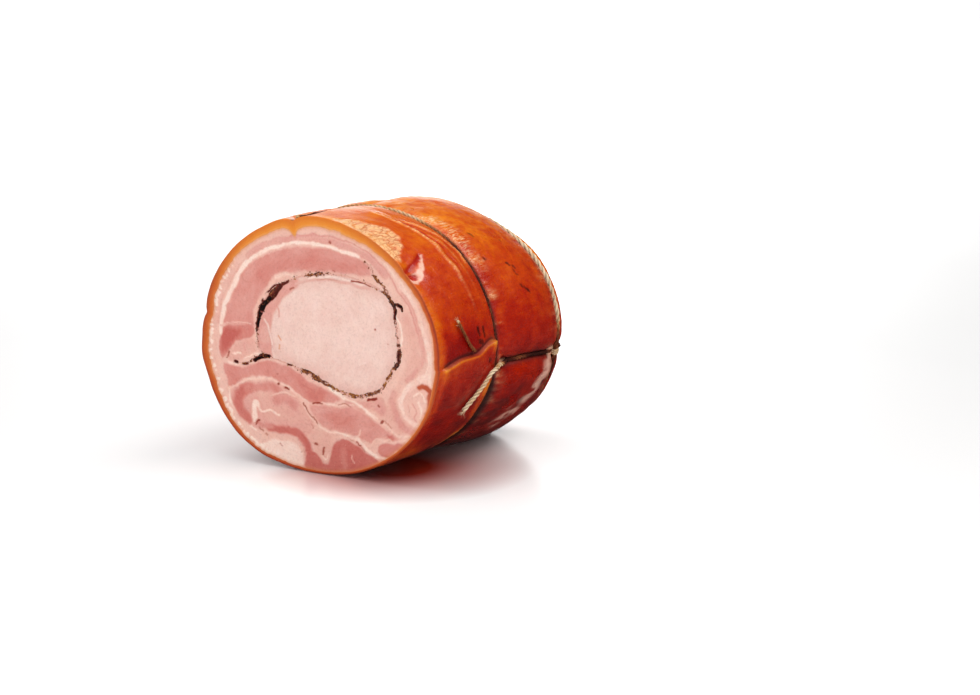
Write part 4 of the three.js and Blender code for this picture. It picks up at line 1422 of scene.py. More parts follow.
def herbs(x, z):
    """How thick the herbs lie at a place of the face, and how dark they are: full within the
    layer's width, thinning out by a bell curve beside it."""
    places = on_face(x, z)
    wander = clouds(places, HERB_WANDER)
    broken = 0.95 + clouds(places, HERB_BREAKS)
    amount = np.zeros(x.shape)
    dark = np.zeros(x.shape)
    for line in [np.vstack([RING_LINE, RING_LINE[:1]]), *TAIL_LINES]:
        away, numbers = nearest_on(x, z, line)
        width, darkness, cover = np.moveaxis(numbers, -1, 0)
        beside = np.maximum(0, away + wander - 0.34 * width)
        here = cover * np.maximum(bell(beside, 0.5), 0.42 * bell(beside, 1.8))
        here = np.minimum(1, here * np.minimum(1.1, broken))
        dark = np.where(here > amount, darkness, dark)
        amount = np.maximum(amount, here)
    clump = stroke(x, z, CLUMP, 1.9, 1.2)
    return standing(x, z) * np.maximum(amount, 0.95 * clump), np.maximum(dark, clump)


def standing(x, z):
    """1 except where a piece of meat stands in a gap."""
    return 1 - strongest(x, z, GAP_ISLANDS, 0.7)


def gaps(x, z):
    """How deep the gaps in the herb layer are, less what stands in them."""
    return strongest(*bent(x, z, *FINE_BEND), HERB_GAPS, 1) * standing(x, z)


def bent(x, z, size, amount, seed):
    """Places moved a little by noise, so that no painted edge is a clean curve."""
    places = on_face(x, z)
    return x + amount * cloud(places, size, seed), z + amount * cloud(places, size, seed + 1)


def painted(x, z, base, areas, lines):
    """Areas and then lines painted over a base shade, each by its own cover."""
    shade = base
    for tone, soft, points in areas.values():
        cover = patch(x, z, points, soft)
        shade = shade * (1 - cover) + tone * cover
    for tone, width, soft, points in lines.values():
        cover = stroke(x, z, points, width, soft)
        shade = shade * (1 - cover) + tone * cover
    return shade


def mottled(x, z, shade, amount, seed):
    """A shade made uneven by noise of three sizes."""
    places = on_face(x, z)
    uneven = 0.5 * cloud(places, 9, seed) + 0.3 * cloud(places, 3.4, seed + 1)
    return shade + amount * (uneven + 0.2 * cloud(places, 1.4, seed + 2))


def belly_values(x, z):
    """What colours the cut belly: shade, dark slits, herbs, and the fold of rind."""
    px, pz = bent(*bent(x, z, *BELLY_BEND), *FINE_BEND)
    shade = painted(px, pz, np.full(x.shape, FAT), MEAT_AREAS, MEAT_LINES)
    amount, dark = herbs(x, z)
    return {
        "shade": mottled(x, z, shade, 0.1, 65),
        "slit": strongest(*bent(x, z, 1.3, 0.35, 67), MEAT_MARKS, 0.8),
        "herb": amount,
        "herb_dark": dark,
        "rind_fold": strongest(px, pz, RIND_FOLD, 1.5),
        "gap": gaps(x, z),
    }


def loin_values(x, z):
    """What colours the cut loin: shade, darker near the herbs, slits, herbs and orange flecks."""
    edge = distance(x, z, RING_LINE[:, :2])
    base = 0.86 - 0.14 * smooth((9 - edge) / 9)
    shade = painted(*bent(x, z, *LOIN_BEND), base, LOIN_AREAS, LOIN_LINES)
    amount, dark = herbs(x, z)
    return {
        "shade": mottled(x, z, shade, 0.06, 75),
        "slit": strongest(*bent(x, z, 1.3, 0.3, 77), LOIN_MARKS, 0.7),
        "gap": gaps(x, z),
        "herb": amount,
        "herb_dark": dark,
        "orange": strongest(x, z, LOIN_ORANGE, 0.7),
    }


def from_hub(points, directions):
    """How far a closed outline is from the hub in each direction, in degrees."""
    away = points - HUB
    angle = np.degrees(np.arctan2(away[:, 1], away[:, 0]))
    order = np.argsort(angle)
    reach = np.hypot(away[:, 0], away[:, 1])[order]
    return np.interp(directions, angle[order], reach, period=360)


def meat_lift(x, z, values):
    """How far the cut meat stands out: its relief, fat a little proud, slits and herbs sunk."""
    sunk = 0.12 * values["slit"] + 0.1 * values["herb"] + 0.9 * values["gap"]
    return face_relief(x, z) + 0.1 * (values["shade"] - 0.5) - sunk


def at_depth(flat, y):
    """A row of a surface: places in X and Z, some way into the roll."""
    return np.insert(flat, 1, y, axis=-1)[None]


def held(values, before, after):
    """A grid's values, with those of its first and last rows held on over further rows."""
    return {
        key: np.concatenate([value[:1].repeat(before, 0), value, value[-1:].repeat(after, 0)])
        for key, value in values.items()
    }


def belly_outline():
    """Where the belly ends on the cut face, at every quarter of a degree: the angles, how far it
    reaches, and its places in X and Z."""
    angles = np.linspace(-180, 180, 1441)[:-1]
    reach = ragged_inner_edge(angles, rim_reach(angles))
    line = reach[:, None] * outward(angles)[:, [0, 2]]
    line[:, 1] = np.maximum(line[:, 1], 0.6 - REST_DEPTH)
    return angles, reach, line


def belly_wall(far, y):
    """A row of the belly's outer wall: the face's outline with the roll's girth and drop there."""
    flat = far * (float(girth(np.array(float(y)))) * (1 - 0.02 * (y > BELLY_WALL_ROWS[0])))
    flat[:, 1] = np.maximum(flat[:, 1] + float(axis_height(y)), 2 - REST_DEPTH)
    return at_depth(flat, y)


def belly_surface():
    """The belly inside the rind: the pocket's end and wall, the cut face outwards from the herbs
    to the rind, and the outer wall back to the tip."""
    directions = spaced(-180, 180, 641, lambda angle: 1 + 0 * angle)[:-1]
    angles, reach, line = belly_outline()
    ray = outward(directions)[:, [0, 2]]
    near = HUB + from_hub(RING_LINE[:, :2], directions)[:, None] * ray
    far = HUB + from_hub(line, directions)[:, None] * ray
    flat = near + (far - near) * np.linspace(0, 1, 96)[:, None, None]
    x, z = flat[..., 0], flat[..., 1]
    values = belly_values(x, z)
    edge = np.interp(np.degrees(np.arctan2(z, x)), angles, reach, period=360)
    beads = nodule_height(x, z, np.hypot(x, z), edge)
    lift = meat_lift(x, z, values) + beads
    # The beads are whitened: partly their own white fat, partly painted glints on them
    values["shade"] = values["shade"] + 2.2 * beads
    values["near_rind"] = bell(edge - np.hypot(x, z), 1.1)
    before = [*[at_depth(near, y) for y in POCKET_ROWS], at_depth(near, 0.6)]
    after = [at_depth(far + 0.6 * ray, 0.5), *[belly_wall(far, y) for y in BELLY_WALL_ROWS]]
    surface = Surface(
        np.concatenate([*before, stacked(x, -lift, z), *after]),
        first=np.array([HUB[0], CORE_LENGTH, HUB[1]]),
        last=np.array([0, BELLY_TIP, axis_height(BELLY_TIP)]),
    )
    surface.values = held(values, len(before), len(after))
    return surface


def loin_surface():
    """The loin: its cut face outwards from the hub to the herbs, then its wall back."""
    directions = np.linspace(-180, 180, 421)[:-1]
    reach = from_hub(RING_LINE[:, :2], directions)
    share = np.linspace(0.02, 1, 84)[:, None, None]
    flat = HUB + share * reach[:, None] * outward(directions)[:, [0, 2]]
    x, z = flat[..., 0], flat[..., 1]
    values = loin_values(x, z)
    wall = [at_depth(flat[-1], y) for y in LOIN_WALL_ROWS]
    surface = Surface(
        np.concatenate([stacked(x, -meat_lift(x, z, values), z), *wall]),
        first=np.array([HUB[0], -face_relief(HUB[0], HUB[1]), HUB[1]], float),
        last=np.array([HUB[0], CORE_LENGTH, HUB[1]]),
    )
    surface.values = held(values, 0, len(wall))
    return surface


# The herb layer


def across_line(line, closed):
    """The unit direction square to a flat line at each of its places."""
    run = run_along(line, closed)
    return np.stack([-run[:, 1], run[:, 0]], -1)


def herb_band(line, closed):
    """A band of herbs that runs into the roll: across its face in eleven places with granular
    relief, then down one side, along its back and up the other."""
    middle = line[:, :2]
    width = line[:, 2]
    half = 0.42 * (width + 0.5)
    if not closed:
        share = np.linspace(0, 1, len(line))
        half = half * np.minimum(1, 0.15 + 6 * np.minimum(share, 1 - share))
    uneven = 1 + 0.3 * cloud(on_face(middle[:, 0], middle[:, 1]), 1.6, 81)
    steps = np.linspace(-1, 1, HERB_STEPS)[:, None, None]
    flat = middle + steps * (half * uneven)[:, None] * across_line(middle, closed)
    x, z = flat[..., 0], flat[..., 1]
    amount, dark = herbs(x, z)
    gap = gaps(x, z)
    rough = clouds(on_face(x, z), HERB_GRAINS)
    rise = 0.12 * (1 - steps[..., 0] ** 2) - 0.05
    lift = face_relief(x, z) + rise + amount * (1 - gap) * rough - 0.9 * gap
    last = HERB_STEPS - 1
    back = [(last, 1.2), (last, CORE_LENGTH), (0, CORE_LENGTH), (0, 1.2)]
    behind = [at_depth(flat[step], y) for step, y in back]
    places = np.concatenate([stacked(x, -lift, z), *behind])
    surface = Surface(places.transpose(1, 0, 2), tube=closed)
    held_at = np.append(np.arange(HERB_STEPS), [step for step, _ in back])
    given = {"herb": amount, "herb_dark": dark, "gap": gap}
    surface.values = {"shade": 0.7, **{key: value[held_at].T for key, value in given.items()}}
    return surface


def flake_ball(slim, index):
    """A small flattened ball of three rows between its poles, dented by noise."""
    levels = np.array([0.35, 0.5, 0.7])[:, None] * np.pi
    turns = np.linspace(0, 2 * np.pi, 7)[:-1]
    ball = np.stack([
        np.sin(levels) * np.cos(turns), 0.45 * np.cos(levels) + 0 * turns,
        np.sin(levels) * np.sin(turns) * slim,
    ], -1)
    return ball * (1 + 0.25 * cloud(ball * 3 + index, 1.0, 84)[..., None])


def spun(spin, lean):
    """A turn about Y after a lean about X, as rows of a matrix."""
    return np.array([
        [np.cos(spin), 0, -np.sin(spin)],
        [np.sin(lean) * np.sin(spin), np.cos(lean), np.sin(lean) * np.cos(spin)],
        [np.cos(lean) * np.sin(spin), -np.sin(lean), np.cos(lean) * np.cos(spin)],
    ])


def flakes(count):
    """Small flakes of herb and pepper on and beside the layer, each turned its own way. A flake
    is drawn for a place of the layer and left out where the layer's cover is thin."""
    random = np.random.default_rng(7)
    surfaces = []
    lines = [RING_LINE, *TAIL_LINES]
    sizes = np.array([len(line) for line in lines])
    across = [across_line(line[:, :2], line is RING_LINE) for line in lines]
    for index in range(count):
        which = random.choice(3, p=sizes / sizes.sum())
        at = random.integers(sizes[which])
        x, z, width, dark, cover = lines[which][at]
        kept, off, big, slim, spin, lean, darker, _ = random.random(8)
        if kept > cover:
            continue
        size = 0.22 + 0.42 * big**2
        centre = np.array([x, 0, z]) + (off - 0.5) * (width + 1.2) * np.insert(across[which][at], 1, 0)
        centre[1] = -face_relief(centre[0], centre[2]) - 0.1 * size
        ball = flake_ball(0.45 + 0.4 * slim, index)
        flake = Surface(centre + size * ball @ spun(spin * 2 * np.pi, (lean - 0.5) * 0.9))
        flake.values = {"herb": 1.0, "herb_dark": min(1, dark * (0.55 + 0.7 * darker))}
        surfaces.append(flake)
    return surfaces


def herb_layer():
    """The ring round the loin, its two tails, and the loose flakes."""
    bands = [
        herb_band(spline(HERB_RING, 0.45, closed=True), True),
        herb_band(spline(LEFT_TAIL, 0.45), False),
        herb_band(spline(RIGHT_TAIL, 0.45), False),
    ]
    return bands + flakes(FLAKES)


# Butcher's twine


def middle_sink(angle):
    """How deep the middle ring lies: less over the top."""
    return MIDDLE_SINK - MIDDLE_PROUD["height"] * near_angle(angle, MIDDLE_PROUD)


def end_sink(angle):
    """How deep the end ring lies: more under the roll, and proud on the upper right."""
    under = (MIDDLE_SINK - END_SINK) * near_angle(angle, UNDER_SINK)
    return END_SINK + under - END_PROUD["height"] * near_angle(angle, END_PROUD)


def over(angle, row, height):
    """A place over the rind at a height square to its slope along the roll."""
    along = unit(skin(angle, row + 0.2) - skin(angle, row - 0.2))
    return skin(angle, row) + square_to(outward(np.asarray(angle, float)), along) * height


def ring_route(row, sink):
    """Once round the roll, drawn tight over the furrows."""
    angle = np.arange(60) * 6.0
    return smooth_skin(angle, np.full(60, row), -sink(angle))


def run_route(angle, lift=0):
    """Along the roll in a furrow, from the cut face to the end string, lifted by some
    millimetres near the face."""
    rows = np.array(RUN_ROWS)
    raised = lift * smooth((42 - rows) / 14) * (0.8 + 0.2 * smooth((rows - 4) / 10))
    lift = raised - furrow_depth(angle, rows) - LONG_SINK
    return smooth_skin(np.full(len(rows), float(angle)), rows, lift)


def end_route(angle):
    """From a string's furrow up onto the closed end and over it to near its middle."""
    stops = [(END_TIE + beyond, lift) for beyond, lift in END_RISE]
    stops += [(END_TIE + (LENGTH - END_TIE) * share, END_LIFT) for share in END_SHARES]
    return np.array([over(float(angle), np.array(row), lift) for row, lift in stops])


def over_tip(lift):
    """The place on the axis, some way beyond the tip."""
    return np.array([[0, LENGTH + lift, float(axis_height(LENGTH))]])


def over_top_route():
    """Along the top, over the tip, and down the closed end to its foot."""
    top = TOP_FURROW["angle"]
    down = end_route(top + 180)[len(END_RISE):][::-1]
    return np.vstack([run_route(top, TOP_LIFT), end_route(top), over_tip(1.6), down])


def round_side_route():
    """From the left of the cut face round the end, along the seam, over the middle string, and
    out to the cut end that lies on the rind."""
    left = LEFT_FURROW["angle"]
    seam = SEAM_FURROW["angle"]
    rows = np.array(SEAM_ROWS)
    along = seam + seam_shift(rows)
    buried = smooth_skin(along, rows, -furrow_depth(along, rows) - LONG_SINK)
    joint = smooth_skin(np.array([seam]), np.array([66.5]), np.array([-0.6]))
    across_end = end_route(seam + float(seam_shift(END_TIE)))[::-1]
    cut_end = smooth_skin(*np.array(CUT_END).T)
    return np.vstack([run_route(left), end_route(left), over_tip(4.6), across_end, buried, joint, cut_end])


def strand_bulge(off):
    """The outline of three round strands, as a share of the twine's radius: how far the nearest
    strand reaches in a direction some degrees off its middle."""
    turned = np.radians(off)
    aside = STRAND_MIDDLE * np.sin(turned)
    return STRAND_MIDDLE * np.cos(turned) + np.sqrt(STRAND_RADIUS**2 - aside**2)


def laid_twine(route, radius, closed=False, lay=TWINE_LAY, step=0.7):
    """Three strands laid round a route. The section is the outline of three circles, and turns
    once in each lay; along the route it is set square to the roll's surface."""
    line = spline(route, step, closed)
    run = run_along(line, closed)
    core = stacked(0, np.clip(line[:, 1], 0, 110), -3)
    out = square_to(line - core, run)
    side = np.cross(run, out)
    length = step * np.arange(len(line))
    turns = round(length[-1] / lay) / length[-1] if closed else 1 / lay
    around = np.linspace(0, 2 * np.pi, TWINE_SIDES + 1)[:-1]
    twist = 2 * np.pi * turns * length[:, None]
    bulge = strand_bulge((np.degrees(around[None] - twist) % 120) - 60)
    reach = radius * bulge * (1 + 0.14 * cloud(line, 2.6, 97))[:, None]
    if not closed:
        ends = np.minimum(length, length[-1] - length) / radius
        reach = reach * np.sqrt(np.clip(1 - (1 - np.clip(ends, 0, 1)) ** 2, 0.05, 1))[:, None]
    away = reach[..., None] * (
        np.cos(around)[None, :, None] * out[:, None] + np.sin(around)[None, :, None] * side[:, None]
    )
    places = line[:, None] + away
    surface = Surface(places + 0.05 * cloud(places, 0.9, 91)[..., None] * away, tube=closed)
    surface.values = {"crest": (bulge - bulge.min()) / (bulge.max() - bulge.min())}
    return surface, line


def fibres(start, direction, count, length, spread, seed, radius=0.09):
    """Loose fibres from a cut end: each a thin curved taper, square in section."""
    random = np.random.default_rng(seed)
    share = np.linspace(0, 1, 9)[:, None]
    turns = np.linspace(0, 2 * np.pi, 5)[:-1]
    surfaces = []
    for _ in range(count):
        heading = unit(unit(direction) + spread * random.normal(size=3))
        curl = spread * random.normal(size=3)
        reach = length * (0.5 + random.random())
        line = start + 0.5 * random.normal(size=3) + reach * (heading * share + 0.6 * curl * share**2)
        side = unit(np.cross(heading, random.normal(size=3)))
        other = np.cross(heading, side)
        ring = np.cos(turns)[None, :, None] * side + np.sin(turns)[None, :, None] * other
        thread = Surface(line[:, None] + radius * (1 - 0.8 * share)[..., None] * ring)
        thread.values = {"crest": 1.0}
        surfaces.append(thread)
    return surfaces


def stained(surfaces, stain):
    """Surfaces of twine with a stain."""
    for surface in surfaces:
        surface.values["stain"] = stain
    return surfaces


def coil(angle, row, sink, turns, wide):
    """A coil of twine drawn tight about the string in the seam: a helix of a few turns that runs
    round the roll, its ends tucked under."""
    ends = smooth_skin(np.array([angle - 1.0, angle + 1.0]), np.full(2, row), np.full(2, -sink))
    along = unit(ends[1] - ends[0])
    out = square_to(outward(np.array(SEAM_FURROW["angle"])), along)
    side = np.cross(along, out)
    share = np.linspace(0, 1, 10 * turns + 1)[:, None]
    turned = 2 * np.pi * turns * share - 0.6 * np.pi
    round_it = COIL_REACH * (np.cos(turned) * out + np.sin(turned) * side)
    route = ends.mean(0) + along * wide * (share - 0.5) + round_it
    return laid_twine(route, COIL_TWINE, lay=0.7 * TWINE_LAY, step=0.5)[0]


def angle_of(line):
    """The angle round the roll of each place of a line."""
    return np.degrees(np.arctan2(line[:, 2] - axis_height(line[:, 1]), line[:, 0]))


def middle_ring():
    """The ring of twine round the middle, paler over the top: partly clean twine, partly painted light
    from above.
    """
    surface, line = laid_twine(ring_route(MIDDLE_TIE, middle_sink), TWINE, closed=True)
    # Paler over the top: partly clean twine, partly painted light from above
    clean = sector(angle_of(line), *CLEAN_AND_LIT_MIDDLE)
    return stained([surface], (0.86 - 0.68 * clean + 0.14 * cloud(line, 9, 93))[:, None])


def end_ring():
    """The ring of twine round the end, clean on the upper right."""
    route = ring_route(END_TIE, end_sink)
    surface, line = laid_twine(route, END_TWINE, closed=True, lay=1.4 * TWINE_LAY)
    clean = sector(angle_of(line), *CLEAN_END)
    return stained([surface], (0.8 - 0.8 * clean + 0.14 * cloud(line, 9, 94))[:, None])


def over_top():
    """The string over the top, clean where it starts at the cut rim."""
    surface, line = laid_twine(over_top_route(), TWINE)
    soaked = np.minimum(1, smooth((line[:, 1] - 4.5) / 3) + (line[:, 2] < 0))
    return stained([surface], (0.1 + 0.7 * soaked + 0.12 * cloud(line, 12, 95))[:, None])


def round_side():
    """The string with its cut end's loose fibres, its hitch on the middle ring, and its knot on
    the end ring."""
    surface, line = laid_twine(round_side_route(), TWINE)
    left = np.linspace(1, 0, len(line))
    last = smooth((0.17 - left) / 0.02) * smooth((66 - line[:, 1]) / 8)
    string = stained([surface], (0.85 - 0.8 * last + 0.3 * cloud(line, 6, 96))[:, None])
    seam = SEAM_FURROW["angle"]
    hitch = coil(seam, MIDDLE_TIE, 0.3, 1, 2.6)
    knot = coil(seam + float(seam_shift(END_TIE)), END_TIE, 0.2, 2, 3.4)
    loose = fibres(line[-1], line[-1] - line[-4], 26, 2.6, 0.5, 3)
    return [*string, *stained([hitch], 0.72), *stained([knot], 0.1), *stained(loose, 0.0)]


def thin_tail():
    """The thin end, unlaid at its tip, with one long loose fibre."""
    places = np.array(THIN_END)
    route = skin(places[:, 0], places[:, 1], places[:, 2])
    surface, line = laid_twine(route, THIN_TWINE, lay=5.2, step=0.45)
    share = np.linspace(0, 1, len(line))
    heading = line[-1] - line[-5]
    loose = fibres(line[-1], heading, 12, 1.8, 0.4, 5, radius=0.07)
    loose += fibres(line[-8], heading, 1, 8, 0.5, 9)
    string = stained([surface], (0.62 - 0.6 * smooth((share - 0.9) / 0.08))[:, None])
    return string + stained(loose, 0.1)


# Finishes


def linear(red, green, blue):
    """A colour as seen on a screen, 0 to 255, as amounts of light."""
    shares = [value / 255 for value in (red, green, blue)]
    return tuple(s / 12.92 if s < 0.04045 else ((s + 0.055) / 1.055) ** 2.4 for s in shares) + (1.0,)


class Value:
    """A number that a socket carries. Arithmetic on it adds Math nodes."""

    def __init__(self, finish, socket):
        self.finish = finish
        self.socket = socket

    def __add__(self, other):
        return self.finish.math("ADD", self, other)

    def __sub__(self, other):
        return self.finish.math("SUBTRACT", self, other)

    def __rsub__(self, other):
        return self.finish.math("SUBTRACT", other, self)

    def __mul__(self, other):
        return self.finish.math("MULTIPLY", self, other)

    def __pow__(self, other):
        return self.finish.math("POWER", self, other)

    __radd__ = __add__
    __rmul__ = __mul__

    def clamped(self):
        """The number kept between 0 and 1."""
        return self.finish.math("ADD", self, 0, clamp=True)


class Nodes:
    """The nodes of a material or of the world."""

    def __init__(self, owner):
        owner.use_nodes = True
        self.tree = owner.node_tree
        self.tree.nodes.clear()

    def node(self, kind, settings, inputs):
        """A node of any type: its settings first, then a value or a link for each socket."""
        node = self.tree.nodes.new(kind)
        for key, value in settings.items():
            if key == "stops":
                self.set_stops(node.color_ramp, value)
            else:
                setattr(node, key, value)
        for key, value in inputs.items():
            socket = node.inputs[key]
            source = value.socket if isinstance(value, Value) else value
            if isinstance(source, bpy.types.NodeSocket):
                self.tree.links.new(source, socket)
            else:
                socket.default_value = source
        return node

    def set_stops(self, ramp, stops):
        """A ramp's stops: a position and a colour each."""
        while len(ramp.elements) < len(stops):
            ramp.elements.new(0.5)
        for element, (position, colour) in zip(ramp.elements, stops):
            element.position = position
            element.color = colour


class Finish(Nodes):
    """One material: a Principled shader, with the numbers that are the same all over it."""

    def __init__(self, name, **constants):
        super().__init__(bpy.data.materials.new(name))
        fixed = {key.replace("_", " "): value for key, value in constants.items()}
        self.shader = self.node("ShaderNodeBsdfPrincipled", {}, fixed)
        self.node("ShaderNodeOutputMaterial", {}, {"Surface": self.shader.outputs["BSDF"]})
        self.places = self.node("ShaderNodeTexCoord", {}, {}).outputs["Object"]

    def math(self, operation, *numbers, clamp=False):
        """The result of a Math node."""
        inputs = dict(enumerate(numbers))
        made = self.node("ShaderNodeMath", {"operation": operation, "use_clamp": clamp}, inputs)
        return Value(self, made.outputs[0])

    def attribute(self, name):
        """One of the values that the mesh carries."""
        made = self.node("ShaderNodeAttribute", {"attribute_name": name}, {})
        return Value(self, made.outputs["Fac"])

    def noise(self, size, detail=2.0, roughness=0.5, places=None, distortion=0.0):
        """Noise from 0 to 1 with lumps of a size in millimetres."""
        inputs = {
            "Vector": self.places if places is None else places,
            "Scale": 1 / (size * MM),
            "Detail": detail,
            "Roughness": roughness,
            "Distortion": distortion,
        }
        return Value(self, self.node("ShaderNodeTexNoise", {}, inputs).outputs["Fac"])

    def vector(self, operation, *inputs):
        """The result of a Vector Math node."""
        settings = {"operation": operation}
        return self.node("ShaderNodeVectorMath", settings, dict(enumerate(inputs))).outputs[0]

    def length(self, vector):
        """A vector's length."""
        made = self.node("ShaderNodeVectorMath", {"operation": "LENGTH"}, {0: vector})
        return Value(self, made.outputs["Value"])

    def stretched(self, *factors):
        """Object coordinates times a factor along each axis."""
        return self.vector("MULTIPLY", self.places, factors)

    def layers(self):
        """Coordinates for noise in thin layers round the face: the direction from the hub times
        LAYERS_ROUND, with the distance from it along Y."""
        away = self.vector("SUBTRACT", self.places, tuple(CENTRE + np.insert(HUB, 1, 0) * MM))
        turned = self.vector("MULTIPLY", self.vector("NORMALIZE", away), (LAYERS_ROUND * MM,) * 3)
        depth = self.node("ShaderNodeCombineXYZ", {}, {"Y": self.length(away)}).outputs[0]
        return self.vector("ADD", turned, depth)

    def ramp(self, value, stops):
        """A colour by a value: a position and an amount of red, green and blue, 0 to 255, each."""
        stops = [(position, linear(*colour)) for position, *colour in stops]
        return self.node("ShaderNodeValToRGB", {"stops": stops}, {"Fac": value}).outputs["Color"]

    def mix(self, share, first, second):
        """Between two colours by a share, which is kept between 0 and 1."""
        settings = {"data_type": "RGBA", "blend_type": "MIX", "clamp_factor": True}
        return self.node("ShaderNodeMix", settings, {0: share, 6: first, 7: second}).outputs[2]

    def tinted(self, colour, share, *tint):
        """A colour covered by another, 0 to 255, to some share."""
        return self.mix(share, colour, linear(*tint))

    def bump(self, height, millimetres):
        """A normal from a height of 0 to 1 that stands for some millimetres."""
        inputs = {"Height": height, "Strength": 1.0, "Distance": millimetres * MM}
        return self.node("ShaderNodeBump", {}, inputs).outputs["Normal"]

    def set(self, **sockets):
        """Links to the shader's own sockets."""
        for key, value in sockets.items():
            source = value.socket if isinstance(value, Value) else value
            self.tree.links.new(source, self.shader.inputs[key.replace("_", " ")])


def herb_colour(finish):
    """Herbs and pepper, from black to straw, darker where the layer is."""
    kind = finish.noise(1.5, 2, 0.6) * 1.6 - finish.attribute("herb_dark") * 0.62 + 0.06
    return finish.ramp(kind, HERB_COLOURS)


def meat_finish(name, lean_to_fat, **constants):
    """Cut meat: from lean to fat by the painted lean-to-fat shade, made uneven by fibres and grains, with
    flecks of herb as thick as the herbs lie, dark slits, and painted shade, dark red to nearly black, in
    the herb layer's gaps."""
    finish = Finish(name, **constants)
    fibre = finish.noise(2.6, 3, 0.6)
    grain = finish.noise(0.8, 2, 0.6)
    patchy = finish.noise(11, 2, 0.5)
    layered = finish.noise(1.5, 3, 0.65, finish.layers())
    flecks = finish.noise(1.1, 3, 0.65)
    shade = finish.attribute("shade")
    slit = finish.attribute("slit")
    fold = finish.attribute("rind_fold")
    gap = finish.attribute("gap") + 0.3 * (flecks - 0.5)
    tone = shade + 0.12 * (fibre - 0.5) + 0.05 * (grain - 0.5) + 0.1 * (patchy - 0.5)
    colour = finish.ramp(tone + 0.2 * (layered - 0.5), lean_to_fat)
    specks = ((finish.noise(1.2, 2, 0.6) - 0.66) * 6).clamped()
    colour = finish.tinted(colour, specks * (1 - shade).clamped() * 0.6, 240, 206, 190)
    colour = finish.tinted(colour, slit * 1.1, 178, 84, 62)
    colour = finish.tinted(colour, (slit - 0.5) * 1.7, 132, 34, 26)
    colour = finish.tinted(colour, finish.attribute("near_rind") * 0.55, 226, 142, 88)
    colour = finish.tinted(colour, fold * 1.1, 198, 98, 64)
    colour = finish.tinted(colour, (fold - 0.6) * 1.6, 176, 66, 36)
    colour = finish.tinted(colour, finish.attribute("orange") * 0.8, 214, 128, 70)
    cover = ((finish.attribute("herb") * 0.95 + flecks - 1.0) * 6).clamped()
    colour = finish.mix(cover, colour, herb_colour(finish))
    # Painted shade in the herb layer's gaps: dark red, then nearly black where they are deep
    colour = finish.tinted(colour, gap * 2.4, 112, 28, 12)
    colour = finish.tinted(colour, (gap - 0.5) * 2.6, 24, 3, 2)
    height = 0.4 * fibre + 0.12 * grain + 0.3 * layered + 0.5 * cover * flecks
    finish.set(
        Base_Color=colour, Roughness=0.32 + 0.25 * grain + 0.3 * cover, Normal=finish.bump(height, 0.28)
    )


def make_meats():
    """The belly and the loin, moist, and what shows between the herbs, which is drier."""
    wet = dict(
        Subsurface_Weight=0.18, Subsurface_Scale=0.004, Subsurface_Radius=(1.0, 0.35, 0.2),
        Specular_IOR_Level=0.35, Coat_Weight=0.12, Coat_Roughness=0.18,
    )
    meat_finish("cut_belly", BELLY_COLOURS, **wet)
    meat_finish("cut_loin", LOIN_COLOURS, **wet)
    dry = {**wet, "Coat_Weight": 0.05, "Subsurface_Weight": 0.0}
    meat_finish("cooked_herbs", UNDER_HERBS_COLOURS, **dry)


def cell_grooves(finish):
    """The dark lines between the pale patch's cells: where either of two noises is near its
    middle value. The first is drawn out along the roll."""
    net = finish.math("ABSOLUTE", finish.noise(4.4, 2, 0.5, finish.stretched(1, 0.34, 1), 0.5) - 0.5)
    web = finish.math("ABSOLUTE", finish.noise(3, 1, 0.5) - 0.5)
    return finish.math("MAXIMUM", 1 - net * 13, 0.8 - web * 14).clamped()


def cut_edge(finish, mottle):
    """The rind's cut edge, yellow or russet, each by the depth into it."""
    depth = finish.attribute("cut_depth") + 0.35 * (mottle - 0.5)
    russet = finish.ramp(depth, RUSSET_EDGE_COLOURS)
    return finish.mix(finish.attribute("yellow"), russet, finish.ramp(depth, YELLOW_EDGE_COLOURS))


